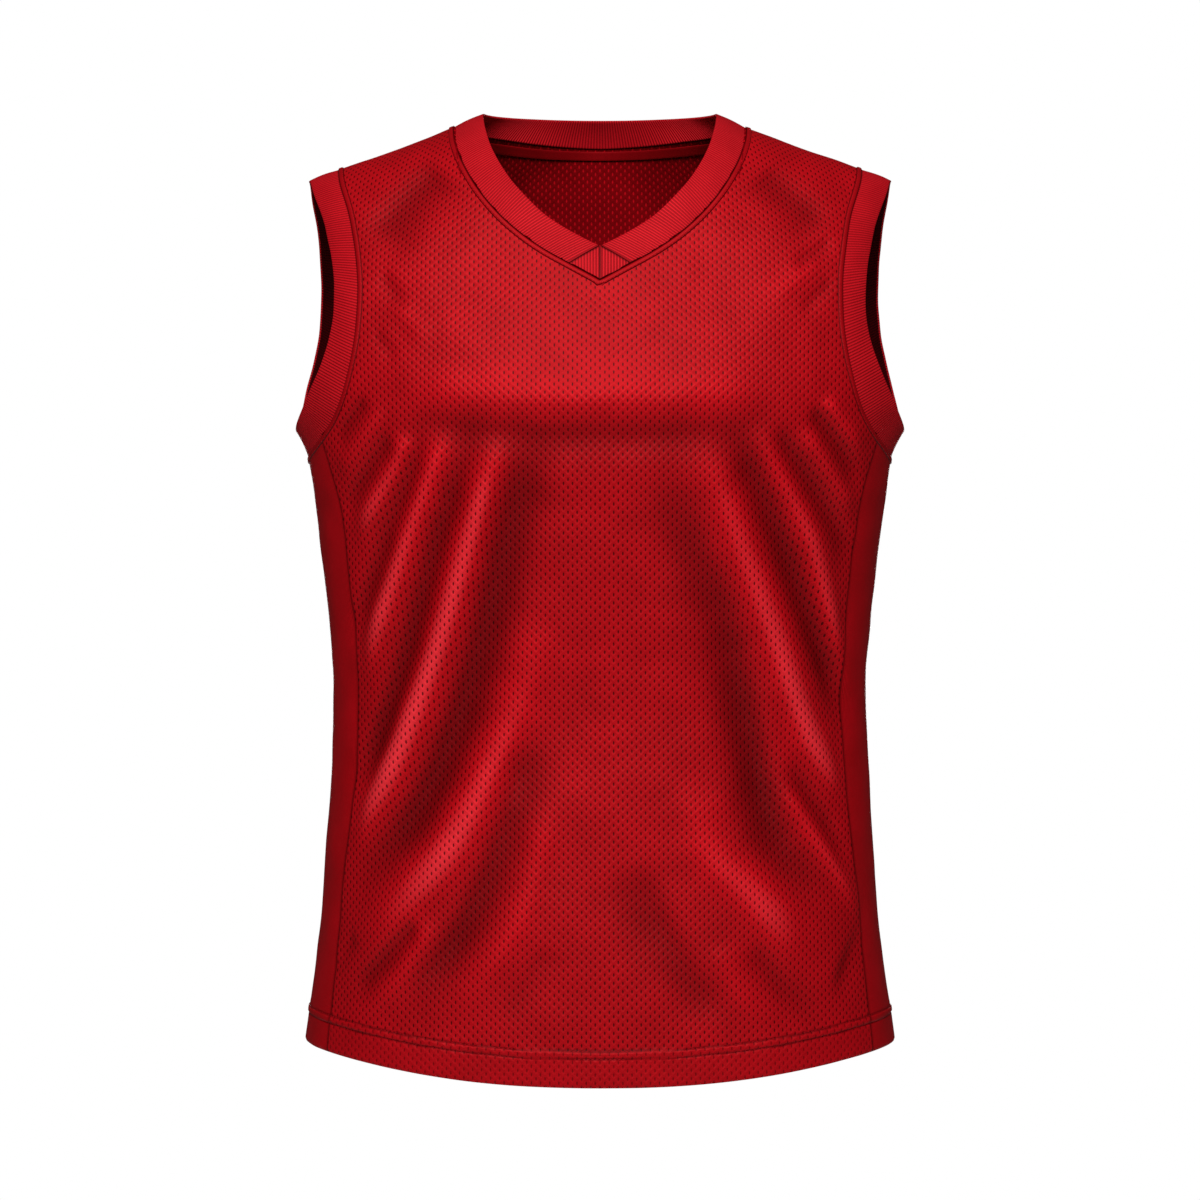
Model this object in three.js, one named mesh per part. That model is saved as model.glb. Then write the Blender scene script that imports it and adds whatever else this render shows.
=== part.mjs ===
// A sleeveless V-neck mesh jersey, hollow and filled out as if worn.
// Millimetres, +Z up, the front faces -Y and the wearer's left is +X. The origin is midway
// between the two points where the shoulder seams meet the collar.
import * as THREE from "three";

// ---- Driving dimensions -------------------------------------------------------------------------
const NECK_HALF = 107; // half the distance between the collar ends of the shoulder seams
const SHOULDER_END = 192.8; // half the distance between the armhole ends of the shoulder seams
const SHOULDER_SLOPE = 0.364; // fall of the shoulder per mm outwards
const SHOULDER_SAG = 1; // how much the shoulder seam sags halfway along
const NECK_RISE = 0.004; // extra rise of the form inside the neck, per mm squared
const NECK_ROUNDING = 20; // rounds the form's ridge where both sides meet at the centre
const ROLL_FRONT = 105; // height over which the shoulder rounds over to the front
const ROLL_BACK = 95;
const GIRTH_POWER = 0.889; // 1 is an ellipse, less is boxier
const QUARTER_GIRTH = 272; // cloth from centre front to the side of the body
const FIRST_LEVEL = -60; // a first guess, near the middle of the armholes

const MESH_WALL = 1.4; // modelled thickness of the mesh cloth
const SIDE_WALL = 1.4;
const RIB_WALL = 2.0;
const TAPE_WALL = 1.0;
const HEM_PLY = 1.2; // what the turned-up ply adds inside the hem
const HEM_DEPTH = 25;
const SEAM_GAP = 0.3; // clear distance between two pieces at a seam

const HEM_SIDE = -669; // level of the hem at the sides
const HEM_DIP_FRONT = 20; // how much lower it hangs at the centre front
const HEM_DIP_BACK = 16;
const HEM_CURVE = 2.6; // how much of the dip is kept for the middle
const HEM_BLEND = 22; // height over which the hem's extra ply ends

const ARMHOLE_SEAM_FALL = 205.5; // from the shoulder seam down to the underarm, along the cloth's seam
const ARMHOLE_EDGE_FALL = 184; // the same for the free edge of the armhole rib
const ARMHOLE_FLARE = 7; // how far the rib's free edge stands out at the underarm
const SIDE_JOIN = 156; // degrees round the armhole seam where the side panel begins

const COLLAR_EDGE_HALF = 86; // the collar's free edge at the side of the neck
const COLLAR_EDGE_BACK = 75; // and behind the neck, measured back from the shoulder seams
const COLLAR_RISE_SIDE = 11;
const COLLAR_RISE_BACK = 16;
const NECK_SEAM_BACK = -3.5; // level of the neck seam at the centre back
const TAPE_TOP = 2.5; // the neck tape's top edge, below the neck seam
const TAPE_WIDTH = 6.5;
const TAPE_CLEAR = 0.8; // and what the flat facets of the two pieces need between them

// Stations along the seams. Two pieces that are sewn together use the same ones.
const BODY_ROWS = 16; // hem to underarm
const ARM_ROWS = 10; // underarm to shoulder, front or back
const UNDERARM_STEPS = 6; // across the top of a side panel
const NECK_STEPS = 9; // V or centre back to the shoulder seam
const SHOULDER_STEPS = 4;
const RIB_STEPS = 2; // across a rib
const SEAM_CLEAR = 0.04; // share of the collar's width that its facets need beside the neck seam

// The body's girth at several levels: half its width, and how far it stands out in front and behind.
const GIRTHS = [
  { level: -700, half: 218.5, front: 124, back: 119 },
  { level: -668, half: 215.7, front: 123, back: 118 },
  { level: -604, half: 207.5, front: 120, back: 113 },
  { level: -516, half: 199.5, front: 113, back: 101 },
  { level: -440, half: 195.9, front: 108, back: 93 },
  { level: -383, half: 197.1, front: 110, back: 94 },
  { level: -295, half: 206.3, front: 119, back: 103 },
  { level: -245, half: 213.5, front: 125, back: 109 },
  { level: -208, half: 219, front: 127, back: 112 },
  { level: -165, half: 223.5, front: 117, back: 113 },
  { level: -122, half: 226, front: 103, back: 110 },
  { level: -70, half: 227, front: 88, back: 102 },
  { level: -20, half: 227.5, front: 79, back: 92 },
  { level: 30, half: 227.5, front: 74, back: 84 },
];

// The front neck seam from the V up to the shoulder seam, with the points of the collar's free edge.
// The mitred insert ends at the second row, where the collar's end runs up to the point of the V.
const FRONT_NECK = [
  { seamX: 0, seamZ: -122.1, edgeX: 0, edgeZ: -96.9 },
  { seamX: 22, seamZ: -109.8, edgeX: 0.4, edgeZ: -96.7 },
  { seamX: 40, seamZ: -99.3, edgeX: 19, edgeZ: -87 },
  { seamX: 57.5, seamZ: -86.4, edgeX: 39, edgeZ: -73.8 },
  { seamX: 73.5, seamZ: -71.2, edgeX: 58, edgeZ: -54.5 },
  { seamX: 87.5, seamZ: -53.4, edgeX: 69.5, edgeZ: -38.6 },
  { seamX: 98.3, seamZ: -34, edgeX: 78, edgeZ: -22 },
  { seamX: 104.4, seamZ: -17.5, edgeX: 83, edgeZ: -6.5 },
  { seamX: 106.6, seamZ: -5.2, edgeX: 85.4, edgeZ: 5 },
  { seamX: 107, seamZ: 0, edgeX: 86, edgeZ: 11 },
];
const INSERT_END = 1; // the row of the table above
const INSERT_REACH = 0.95; // how far the insert's two sides run towards the point of the V

// The armhole in steps of 30 degrees, from the shoulder down the front, under the arm and up the back:
// how far round the body, in degrees from the side, the seam and the rib's free edge lie. The seam's two
// ends are worked out from SHOULDER_END.
const ARMHOLE_STEP = 30;
const ARMHOLE = [
  { seam: 33, edge: 20.4 },
  { seam: 35.3, edge: 23.7 },
  { seam: 39.8, edge: 30.2 },
  { seam: 42.1, edge: 34 },
  { seam: 38.8, edge: 30.9 },
  { seam: 27.5, edge: 18.5 },
  { seam: 0, edge: 0 },
  { seam: -20, edge: -9 },
  { seam: -29, edge: -17 },
  { seam: -33, edge: -23 },
  { seam: -34, edge: -23 },
  { seam: -33.2, edge: -20.8 },
  { seam: -33, edge: -20.4 },
];

// Where the front and back seams of a side panel lie, in degrees from the side, by share of its height.
const SIDE_SEAM = [
  { share: 0, front: 26.6, back: 26 },
  { share: 0.25, front: 25.4, back: 25.5 },
  { share: 0.4, front: 27.6, back: 26 },
  { share: 0.55, front: 28.8, back: 27 },
  { share: 0.75, front: 28.9, back: 27 },
  { share: 0.9, front: 27.6, back: 24 },
];

// The largest folds. Each runs through the points of its path, given as a distance from the centre line
// (minus is the wearer's right) and a level. It grows from its first rise to its last, and a minus rise
// is a trough. wide is its half-width.
const FOLDS = [
  { face: "front", path: [[-84, -217], [-140, -390], [-186, -494]], wide: 15, rise: [-4, -6] },
  { face: "front", path: [[-67, -219], [-117, -390], [-186, -538]], wide: 15, rise: [4, 6] },
  { face: "front", path: [[-42, -220], [-94, -411], [-184, -570]], wide: 18, rise: [-4, -7] },
  { face: "front", path: [[-38, -352], [-81, -475], [-178, -608]], wide: 17, rise: [2, 6] },
  { face: "front", path: [[-44, -430], [-89, -560], [-148, -652]], wide: 16, rise: [-3, -6] },
  { face: "front", path: [[86, -217], [146, -348], [186, -446]], wide: 15, rise: [-4, -6] },
  { face: "front", path: [[73, -230], [121, -369], [186, -504]], wide: 15, rise: [3, 6] },
  { face: "front", path: [[44, -234], [106, -440], [172, -572]], wide: 19, rise: [-3, -7] },
  { face: "front", path: [[62, -468], [93, -546], [150, -610]], wide: 17, rise: [2, 5] },
  { face: "front", path: [[22, -528], [52, -598], [88, -654]], wide: 16, rise: [-3, -5] },
  { face: "back", path: [[-20, -330], [-85, -455], [-176, -560]], wide: 18, rise: [-5, -7] },
  { face: "back", path: [[-60, -232], [-112, -380], [-184, -482]], wide: 16, rise: [4, 6] },
  { face: "back", path: [[-6, -430], [-62, -560], [-150, -650]], wide: 16, rise: [3, 5] },
  { face: "back", path: [[24, -300], [84, -440], [178, -545]], wide: 18, rise: [-5, -7] },
  { face: "back", path: [[66, -228], [118, -360], [186, -455]], wide: 16, rise: [4, 6] },
  { face: "back", path: [[40, -470], [80, -580], [136, -654]], wide: 16, rise: [-3, -5] },
];
const FOLD_POINTS = 14; // stations along a fold
const FOLD_FADE = 0.25; // the share of its length over which a fold fades in and out

// ---- Small helpers ------------------------------------------------------------------------------
const DEGREE = Math.PI / 180;
const { lerp, clamp, smoothstep } = THREE.MathUtils;
const signedPower = (v, power) => Math.sign(v) * Math.abs(v) ** power;
const range = (count) => Array.from({ length: count + 1 }, (_, i) => i);

// A smooth curve through a table's column, keyed by another column that only rises.
function smoothAt(rows, key, column, at) {
  const last = rows.length - 1;
  let i = 0;
  while (i < last - 1 && rows[i + 1][key] < at) i++;
  const slope = (k) => {
    const a = rows[Math.max(k - 1, 0)];
    const b = rows[Math.min(k + 1, last)];
    return (b[column] - a[column]) / (b[key] - a[key]);
  };
  const span = rows[i + 1][key] - rows[i][key];
  const t = clamp((at - rows[i][key]) / span, 0, 1);
  const [t2, t3] = [t * t, t * t * t];
  return (
    (2 * t3 - 3 * t2 + 1) * rows[i][column] +
    (t3 - 2 * t2 + t) * span * slope(i) +
    (3 * t2 - 2 * t3) * rows[i + 1][column] +
    (t3 - t2) * span * slope(i + 1)
  );
}

// The same for rows that are one step apart.
const indexed = (rows) => rows.map((row, step) => ({ ...row, step }));
const FRONT_NECK_ROWS = indexed(FRONT_NECK);
const ARMHOLE_ROWS = indexed(ARMHOLE);

// ---- The form that the cloth lies on -------------------------------------------------------------
// A place is a turn round the body in degrees (0 the wearer's left side, 90 the centre front,
// 180 the right side, 270 the centre back) and a level.
function shoulderLine(x) {
  const inside = Math.hypot(NECK_HALF, NECK_ROUNDING) - Math.hypot(x, NECK_ROUNDING);
  const along = clamp((Math.abs(x) - NECK_HALF) / (SHOULDER_END - NECK_HALF), 0, 1);
  const sag = SHOULDER_SAG * Math.sin(Math.PI * along) ** 2;
  return SHOULDER_SLOPE * (NECK_HALF - Math.abs(x)) + NECK_RISE * Math.max(inside, 0) ** 2 - sag;
}

const halfWidth = (level) => smoothAt(GIRTHS, "level", "half", level);
const xAt = (turn, level) => halfWidth(level) * signedPower(Math.cos(turn * DEGREE), GIRTH_POWER);
const turnAt = (x, level) =>
  Math.acos(clamp((Math.abs(x) / halfWidth(level)) ** (1 / GIRTH_POWER), 0, 1)) / DEGREE;

// The level at a drop below the shoulder line, whose height there depends on the level again.
function settledLevel(turn, drop, passes) {
  let level = FIRST_LEVEL;
  for (let pass = 0; pass < passes; pass++) level = shoulderLine(xAt(turn, level)) - drop;
  return level;
}

// A point of the form. fall is an angle that runs from 0 on the shoulder line over the rounded shoulder,
// and on down the body, so that the surface is even there too.
function fallPoint(turn, fall) {
  const isFront = Math.sin(turn * DEGREE) >= 0;
  const roll = isFront ? ROLL_FRONT : ROLL_BACK;
  const onRoll = Math.min(fall, Math.PI / 2);
  const drop = roll * (1 - Math.cos(onRoll)) + roll * (fall - onRoll);
  const level = settledLevel(turn, drop, 2);
  const depth = smoothAt(GIRTHS, "level", isFront ? "front" : "back", level) * Math.sin(onRoll);
  return new THREE.Vector3(
    xAt(turn, level),
    -depth * signedPower(Math.sin(turn * DEGREE), GIRTH_POWER),
    level,
  );
}

function fallAt(turn, level) {
  const roll = Math.sin(turn * DEGREE) >= 0 ? ROLL_FRONT : ROLL_BACK;
  const drop = Math.max(shoulderLine(xAt(turn, level)) - level, 0);
  return drop < roll ? Math.acos(1 - drop / roll) : Math.PI / 2 + (drop - roll) / roll;
}

function formNormal(turn, fall) {
  const [turnStep, fallStep] = [0.5, 0.01];
  const across = fallPoint(turn + turnStep, fall).sub(fallPoint(turn - turnStep, fall));
  const down = fallPoint(turn, fall + fallStep).sub(fallPoint(turn, fall - fallStep));
  return across.cross(down).normalize();
}

// ---- Folds --------------------------------------------------------------------------------------
// Distances are taken on the cloth, so the places are turned into mm from the centre line.
const onCloth = (x, level) => Math.sign(x) * QUARTER_GIRTH * (1 - turnAt(x, level) / 90);
const FOLD_LINES = FOLDS.map((fold) => {
  const places = fold.path.map(([x, level]) => new THREE.Vector2(onCloth(x, level), level));
  return { ...fold, points: new THREE.SplineCurve(places).getPoints(FOLD_POINTS) };
});

function foldHeight(turn, level) {
  const wrapped = ((turn % 360) + 360) % 360;
  const isFront = wrapped <= 180;
  const offset = isFront ? 90 - wrapped : wrapped - 270;
  const here = new THREE.Vector2((offset / 90) * QUARTER_GIRTH, level);
  let height = 0;
  for (const fold of FOLD_LINES) {
    if ((fold.face === "front") !== isFront) continue;
    let [best, share] = [Infinity, 0];
    fold.points.forEach((point, i) => {
      if (i === 0) return;
      const from = fold.points[i - 1];
      const step = point.clone().sub(from);
      const t = clamp(here.clone().sub(from).dot(step) / step.lengthSq(), 0, 1);
      const distance = from.clone().addScaledVector(step, t).distanceTo(here);
      if (distance < best) [best, share] = [distance, (i - 1 + t) / FOLD_POINTS];
    });
    const fade = smoothstep(share, 0, FOLD_FADE) * smoothstep(1 - share, 0, FOLD_FADE);
    height += lerp(...fold.rise, share) * fade * Math.exp(-((best / fold.wide) ** 2));
  }
  const calmHem = lerp(0.3, 1, smoothstep(level, HEM_SIDE, HEM_SIDE + 90));
  return height * calmHem;
}

// A point of the cloth's outer face and its outward normal.
function clothPoint(turn, level) {
  const fall = fallAt(turn, level);
  const normal = formNormal(turn, fall);
  const point = fallPoint(turn, fall).addScaledVector(normal, foldHeight(turn, level));
  return { point, normal };
}

// ---- Seam lines ---------------------------------------------------------------------------------
function hemLevel(turn) {
  const s = Math.sin(turn * DEGREE);
  return HEM_SIDE - (s > 0 ? HEM_DIP_FRONT : HEM_DIP_BACK) * Math.abs(s) ** HEM_CURVE;
}

const shoulderTurn = turnAt(SHOULDER_END, shoulderLine(SHOULDER_END));
ARMHOLE_ROWS.at(0).seam = shoulderTurn;
ARMHOLE_ROWS.at(-1).seam = -shoulderTurn;

// round is the angle round the armhole: 0 at the shoulder, 90 in front, 180 under the arm, 270 behind.
function armholePlace(round, line) {
  const turn = smoothAt(ARMHOLE_ROWS, "step", line, round / ARMHOLE_STEP);
  const fall = line === "seam" ? ARMHOLE_SEAM_FALL : ARMHOLE_EDGE_FALL;
  const drop = (fall / 2) * (1 - Math.cos(round * DEGREE));
  return { turn, level: settledLevel(turn, drop, 4) };
}

function sideSeamPlace(share, face) {
  const round = face === "front" ? SIDE_JOIN : 360 - SIDE_JOIN;
  const top = armholePlace(round, "seam");
  const rows = [...SIDE_SEAM, { share: 1, [face]: Math.abs(top.turn) }];
  const turn = smoothAt(rows, "share", face, share) * (face === "front" ? 1 : -1);
  return { turn, level: lerp(hemLevel(turn), top.level, share) };
}

// The edge of a front or back half panel beside the side panel and the armhole, from the hem up.
function outerEdgePlace(row, face) {
  if (row <= BODY_ROWS) return sideSeamPlace(row / BODY_ROWS, face);
  const left = (BODY_ROWS + ARM_ROWS - row) / ARM_ROWS;
  const round = face === "front" ? SIDE_JOIN * left : 360 - SIDE_JOIN * left;
  return armholePlace(round, "seam");
}

// The top edge of a half panel: the neck seam from the centre out, then the shoulder seam.
function topEdgePlace(column, face) {
  if (column > NECK_STEPS) {
    const x = lerp(NECK_HALF, SHOULDER_END, (column - NECK_STEPS) / SHOULDER_STEPS);
    const level = shoulderLine(x);
    return { turn: turnAt(x, level), level };
  }
  if (face === "front") {
    const level = smoothAt(FRONT_NECK_ROWS, "step", "seamZ", column);
    return { turn: turnAt(smoothAt(FRONT_NECK_ROWS, "step", "seamX", column), level), level };
  }
  const x = NECK_HALF * Math.sin((column / NECK_STEPS) * 90 * DEGREE);
  const level = Math.min(NECK_SEAM_BACK * (1 - (x / NECK_HALF) ** 2), shoulderLine(x));
  return { turn: turnAt(x, level), level };
}

// ---- Pieces as grids of outer and inner points ----------------------------------------------------
// Draws the edges of a grid of { point, normal } in by half the seam gap, square to each edge.
function insetEdges(grid, closed = false) {
  const [lastRow, lastColumn] = [grid.length - 1, grid[0].length - 1];
  const pointAt = (r, c) => grid[clamp(r, 0, lastRow)][clamp(c, 0, lastColumn)].point;
  const inwards = (r, c, rowStep, columnStep) => {
    const along = pointAt(r + columnStep, c + rowStep).clone();
    along.sub(pointAt(r - columnStep, c - rowStep)).normalize();
    const draw = pointAt(r + rowStep, c + columnStep).clone().sub(pointAt(r, c));
    return draw.addScaledVector(along, -draw.dot(along)).setLength(SEAM_GAP / 2);
  };
  const moves = grid.map((line, r) =>
    line.map((place, c) => {
      const move = new THREE.Vector3();
      if (r === 0) move.add(inwards(r, c, 1, 0));
      if (r === lastRow) move.add(inwards(r, c, -1, 0));
      if (c === 0 && !closed) move.add(inwards(r, c, 0, 1));
      if (c === lastColumn && !closed) move.add(inwards(r, c, 0, -1));
      return move;
    }),
  );
  grid.forEach((line, r) => line.forEach((place, c) => place.point.add(moves[r][c])));
}

// A closed wall from a grid of { point, normal }, whose inner face lies thickness(point) inside it.
// closed joins the last column to the first.
function wallGeometry(grid, thickness, closed = false) {
  insetEdges(grid, closed);
  const [rows, columns] = [grid.length, grid[0].length];
  const flat = grid.flat();
  const outer = flat.map(({ point }) => point);
  const inner = flat.map(({ point, normal }) =>
    point.clone().addScaledVector(normal, -thickness(point)),
  );
  const at = (r, c, side) => side * rows * columns + r * columns + (c % columns);
  const corners = [...outer, ...inner];
  const triangles = [];
  const quad = (a, b, c, d) => {
    const isShort = corners[a].distanceTo(corners[c]) <= corners[b].distanceTo(corners[d]);
    triangles.push(...(isShort ? [a, b, c, a, c, d] : [a, b, d, b, c, d]));
  };
  const spans = closed ? columns : columns - 1;
  for (let r = 0; r < rows - 1; r++) {
    for (let c = 0; c < spans; c++) {
      quad(at(r, c, 0), at(r, c + 1, 0), at(r + 1, c + 1, 0), at(r + 1, c, 0));
      quad(at(r + 1, c, 1), at(r + 1, c + 1, 1), at(r, c + 1, 1), at(r, c, 1));
    }
  }
  for (let c = 0; c < spans; c++) {
    quad(at(0, c, 1), at(0, c + 1, 1), at(0, c + 1, 0), at(0, c, 0));
    quad(at(rows - 1, c, 0), at(rows - 1, c + 1, 0), at(rows - 1, c + 1, 1), at(rows - 1, c, 1));
  }
  for (let r = 0; r < rows - 1 && !closed; r++) {
    quad(at(r, 0, 0), at(r + 1, 0, 0), at(r + 1, 0, 1), at(r, 0, 1));
    const end = columns - 1;
    quad(at(r, end, 1), at(r + 1, end, 1), at(r + 1, end, 0), at(r, end, 0));
  }
  return facingOut(corners.flatMap((p) => p.toArray()), triangles);
}

function facingOut(positions, triangles) {
  const corner = (i) => new THREE.Vector3().fromArray(positions, 3 * i);
  let volume = 0;
  for (let i = 0; i < triangles.length; i += 3) {
    const [a, b, c] = [corner(triangles[i]), corner(triangles[i + 1]), corner(triangles[i + 2])];
    volume += a.dot(b.cross(c));
  }
  const index = volume > 0 ? triangles : [...triangles].reverse();
  return new THREE.BufferGeometry()
    .setAttribute("position", new THREE.Float32BufferAttribute(positions, 3))
    .setIndex(index);
}

const mirrored = (place) => ({
  point: place.point.clone().multiply(new THREE.Vector3(-1, 1, 1)),
  normal: place.normal.clone().multiply(new THREE.Vector3(-1, 1, 1)),
});

// The front or the back: a grid from the wearer's right edge across the centre to the left one.
function bodyPanel(face) {
  const [rowCount, halfCount] = [BODY_ROWS + ARM_ROWS, NECK_STEPS + SHOULDER_STEPS];
  const sign = face === "front" ? 1 : -1;
  const tops = range(halfCount).map((column) => topEdgePlace(column, face));
  const edges = range(rowCount).map((row) => outerEdgePlace(row, face));
  const [hem, crown] = [edges[0].level, edges[rowCount].level];
  const shoulderTurn = Math.abs(edges[rowCount].turn);
  const placeAt = (row, column) => {
    if (row === rowCount) return tops[column];
    const height = (edges[row].level - hem) / (crown - hem);
    const even = column / halfCount;
    const asTop = (90 - tops[column].turn) / (90 - shoulderTurn);
    const share = lerp(even, asTop, smoothstep(height, 0.45, 1));
    const turn = lerp(90, Math.abs(edges[row].turn), share);
    const level = lerp(hemLevel(sign * turn), tops[column].level, height);
    return column === halfCount ? { turn, level: edges[row].level } : { turn, level };
  };
  const grid = range(rowCount).map((row) => {
    const left = range(halfCount).map((column) => {
      const { turn, level } = placeAt(row, column);
      return clothPoint(sign * turn, level);
    });
    const right = range(halfCount).map((column) => {
      const { turn, level } = placeAt(row, column);
      return clothPoint(sign * (180 - turn), level);
    });
    return [...right.reverse().slice(0, -1), ...left];
  });
  return wallGeometry(grid, withHem(MESH_WALL));
}

// Cloth is one ply thicker inside the hem.
const withHem = (wall) => (point) => {
  const meanDip = (point.y < 0 ? HEM_DIP_FRONT : HEM_DIP_BACK) / 2;
  const top = HEM_SIDE - meanDip + HEM_DEPTH;
  return wall + HEM_PLY * (1 - smoothstep(point.z, top, top + HEM_BLEND));
};

// The strip under an arm, from its front seam round the side to its back seam.
function sidePanel(isLeft) {
  const [frontTop, backTop] = ["front", "back"].map((face) => sideSeamPlace(1, face));
  const grid = range(BODY_ROWS).map((row) => {
    const height = row / BODY_ROWS;
    const [front, back] = ["front", "back"].map((face) => sideSeamPlace(height, face));
    return range(UNDERARM_STEPS).map((step) => {
      const share = step / UNDERARM_STEPS;
      const top = armholePlace(lerp(SIDE_JOIN, 360 - SIDE_JOIN, share), "seam");
      const shift = top.turn - lerp(frontTop.turn, backTop.turn, share);
      const turn = lerp(front.turn, back.turn, share) + shift * smoothstep(height, 0.8, 1);
      const level = lerp(hemLevel(turn), top.level, height);
      return clothPoint(isLeft ? turn : 180 - turn, level);
    });
  });
  return wallGeometry(grid, withHem(SIDE_WALL));
}

// The rib round an armhole, a ring from its seam to its free edge.
function armholeRib(isLeft) {
  const rounds = [
    ...range(ARM_ROWS).map((i) => (SIDE_JOIN * i) / ARM_ROWS),
    ...range(UNDERARM_STEPS)
      .slice(1)
      .map((i) => lerp(SIDE_JOIN, 360 - SIDE_JOIN, i / UNDERARM_STEPS)),
    ...range(ARM_ROWS)
      .slice(1, -1)
      .map((i) => 360 - SIDE_JOIN + (SIDE_JOIN * i) / ARM_ROWS),
  ];
  const grid = range(RIB_STEPS).map((step) =>
    rounds.map((round) => {
      const share = step / RIB_STEPS;
      const [seam, edge] = ["seam", "edge"].map((line) => armholePlace(round, line));
      const turn = lerp(seam.turn, edge.turn, share);
      const start = shoulderLine(xAt(seam.turn, seam.level)) - seam.level;
      const end = shoulderLine(xAt(edge.turn, edge.level)) - edge.level;
      const drop = lerp(start, end, share);
      const level = step === 0 ? seam.level : shoulderLine(xAt(turn, edge.level)) - drop;
      const place = clothPoint(isLeft ? turn : 180 - turn, level);
      const under = smoothstep(-Math.cos(round * DEGREE), 0.2, 1);
      place.point.x += ARMHOLE_FLARE * share * share * under * (isLeft ? 1 : -1);
      return place;
    }),
  );
  return wallGeometry(grid, () => RIB_WALL, true);
}

// ---- Collar -------------------------------------------------------------------------------------
// Points across the collar from its seam (share 0) to its free edge (share 1), on the wearer's left.
function collarSeam(face, column) {
  const { turn, level } = topEdgePlace(column, face);
  return clothPoint(face === "front" ? turn : -turn, level);
}

function collarEdge(face, column) {
  if (face === "front") {
    const x = smoothAt(FRONT_NECK_ROWS, "step", "edgeX", column);
    const level = smoothAt(FRONT_NECK_ROWS, "step", "edgeZ", column);
    const rise = Math.max(level - shoulderLine(x), 0);
    const place = clothPoint(turnAt(x, level), level - rise);
    return place.point.setZ(level);
  }
  const angle = (1 - column / NECK_STEPS) * 90 * DEGREE;
  return new THREE.Vector3(
    COLLAR_EDGE_HALF * Math.cos(angle),
    COLLAR_EDGE_BACK * Math.sin(angle),
    lerp(COLLAR_RISE_SIDE, COLLAR_RISE_BACK, Math.sin(angle)),
  );
}

// A strip between two lines of points, with normals square to it that turn evenly to the seam's own.
function stripGrid(seams, edges, steps) {
  const spots = range(steps).map((step) =>
    seams.map((seam, i) => seam.point.clone().lerp(edges[i], lerp(SEAM_CLEAR, 1, step / steps))),
  );
  const last = seams.length - 1;
  return spots.map((line, step) =>
    line.map((point, i) => {
      const along = spots[step][Math.min(i + 1, last)].clone();
      along.sub(spots[step][Math.max(i - 1, 0)]);
      const across = edges[i].clone().sub(seams[i].point);
      const own = along.cross(across).normalize();
      if (own.dot(seams[i].normal) < 0) own.negate();
      const normal = step === 0 ? seams[i].normal : own;
      return { point, normal };
    }),
  );
}

// The collar is one strip from one side of the insert round the neck to the other.
function collar() {
  const front = range(NECK_STEPS).slice(INSERT_END);
  const back = range(NECK_STEPS).reverse().slice(1);
  const leftSeams = [
    ...front.map((column) => collarSeam("front", column)),
    ...back.map((column) => collarSeam("back", column)),
  ];
  const leftEdges = [
    ...front.map((column) => collarEdge("front", column)),
    ...back.map((column) => collarEdge("back", column)),
  ];
  const flipped = (point) => point.clone().setX(-point.x);
  const seams = [...leftSeams.map(mirrored).slice(0, -1), ...leftSeams.reverse()];
  const edges = [...leftEdges.map(flipped).slice(0, -1), ...leftEdges.reverse()];
  return wallGeometry(stripGrid(seams, edges, RIB_STEPS), () => RIB_WALL);
}

// Half of the mitred insert at the point of the V, a small triangle that stops just short of its tip.
function insertHalf(isLeft) {
  const tip = collarEdge("front", 0);
  const seams = [0, INSERT_END].map((column) => collarSeam("front", column));
  const edges = seams.map((seam) => seam.point.clone().lerp(tip, INSERT_REACH));
  const grid = stripGrid(seams, edges, 1);
  return wallGeometry(isLeft ? grid : grid.map((line) => line.map(mirrored)), () => RIB_WALL);
}

// The narrow tape inside the back, just under the neck seam: the back's inner face, moved in.
function neckTape() {
  const clear = SEAM_GAP + MESH_WALL;
  const columns = range(NECK_STEPS * 2 - 2).map((i) => i + 1 - NECK_STEPS);
  const grid = [TAPE_TOP, TAPE_TOP + TAPE_WIDTH].map((below) =>
    columns.map((column) => {
      const { turn, level } = topEdgePlace(Math.abs(column), "back");
      const place = clothPoint(-turn, level - below);
      place.point.addScaledVector(place.normal, -clear - TAPE_CLEAR);
      return column < 0 ? mirrored(place) : place;
    }),
  );
  return wallGeometry(grid, () => TAPE_WALL);
}

// ---- The jersey ----------------------------------------------------------------------------------
const meshCloth = new THREE.MeshStandardMaterial({ color: 0xa5121b, roughness: 0.5, metalness: 0 });
const plainCloth = new THREE.MeshStandardMaterial({ color: 0x9a0f18, roughness: 0.6, metalness: 0 });
const ribCloth = new THREE.MeshStandardMaterial({ color: 0xb01c25, roughness: 0.8, metalness: 0 });

const jersey = new THREE.Group();
function add(name, geometry, material) {
  const mesh = new THREE.Mesh(geometry, material);
  mesh.name = name;
  jersey.add(mesh);
}

add("front_panel", bodyPanel("front"), meshCloth);
add("back_panel", bodyPanel("back"), meshCloth);
for (const [side, isLeft] of [["left", true], ["right", false]]) {
  add(`side_panel_${side}`, sidePanel(isLeft), plainCloth);
  add(`armhole_rib_${side}`, armholeRib(isLeft), ribCloth);
  add(`collar_insert_${side}`, insertHalf(isLeft), ribCloth);
}
add("collar", collar(), ribCloth);
add("back_neck_tape", neckTape(), ribCloth);

export default jersey;
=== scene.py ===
# %% [markdown]
# # A sleeveless mesh football jersey, worn and hollow
# The jersey is cut from eyelet mesh (front and back), plain knit (two side panels) and rib (the
# neck and the armholes). It keeps the shape of a wearer who isn't there. Every piece is cloth, so
# every piece is a thin shell laid on one rounded form, with its creases pushed in or out by listed
# folds. The form is the one the imported model was made on, so each shell lies on the solid
# that it stands for.

import math

import bpy
import numpy as np
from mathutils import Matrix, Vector, noise


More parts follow.
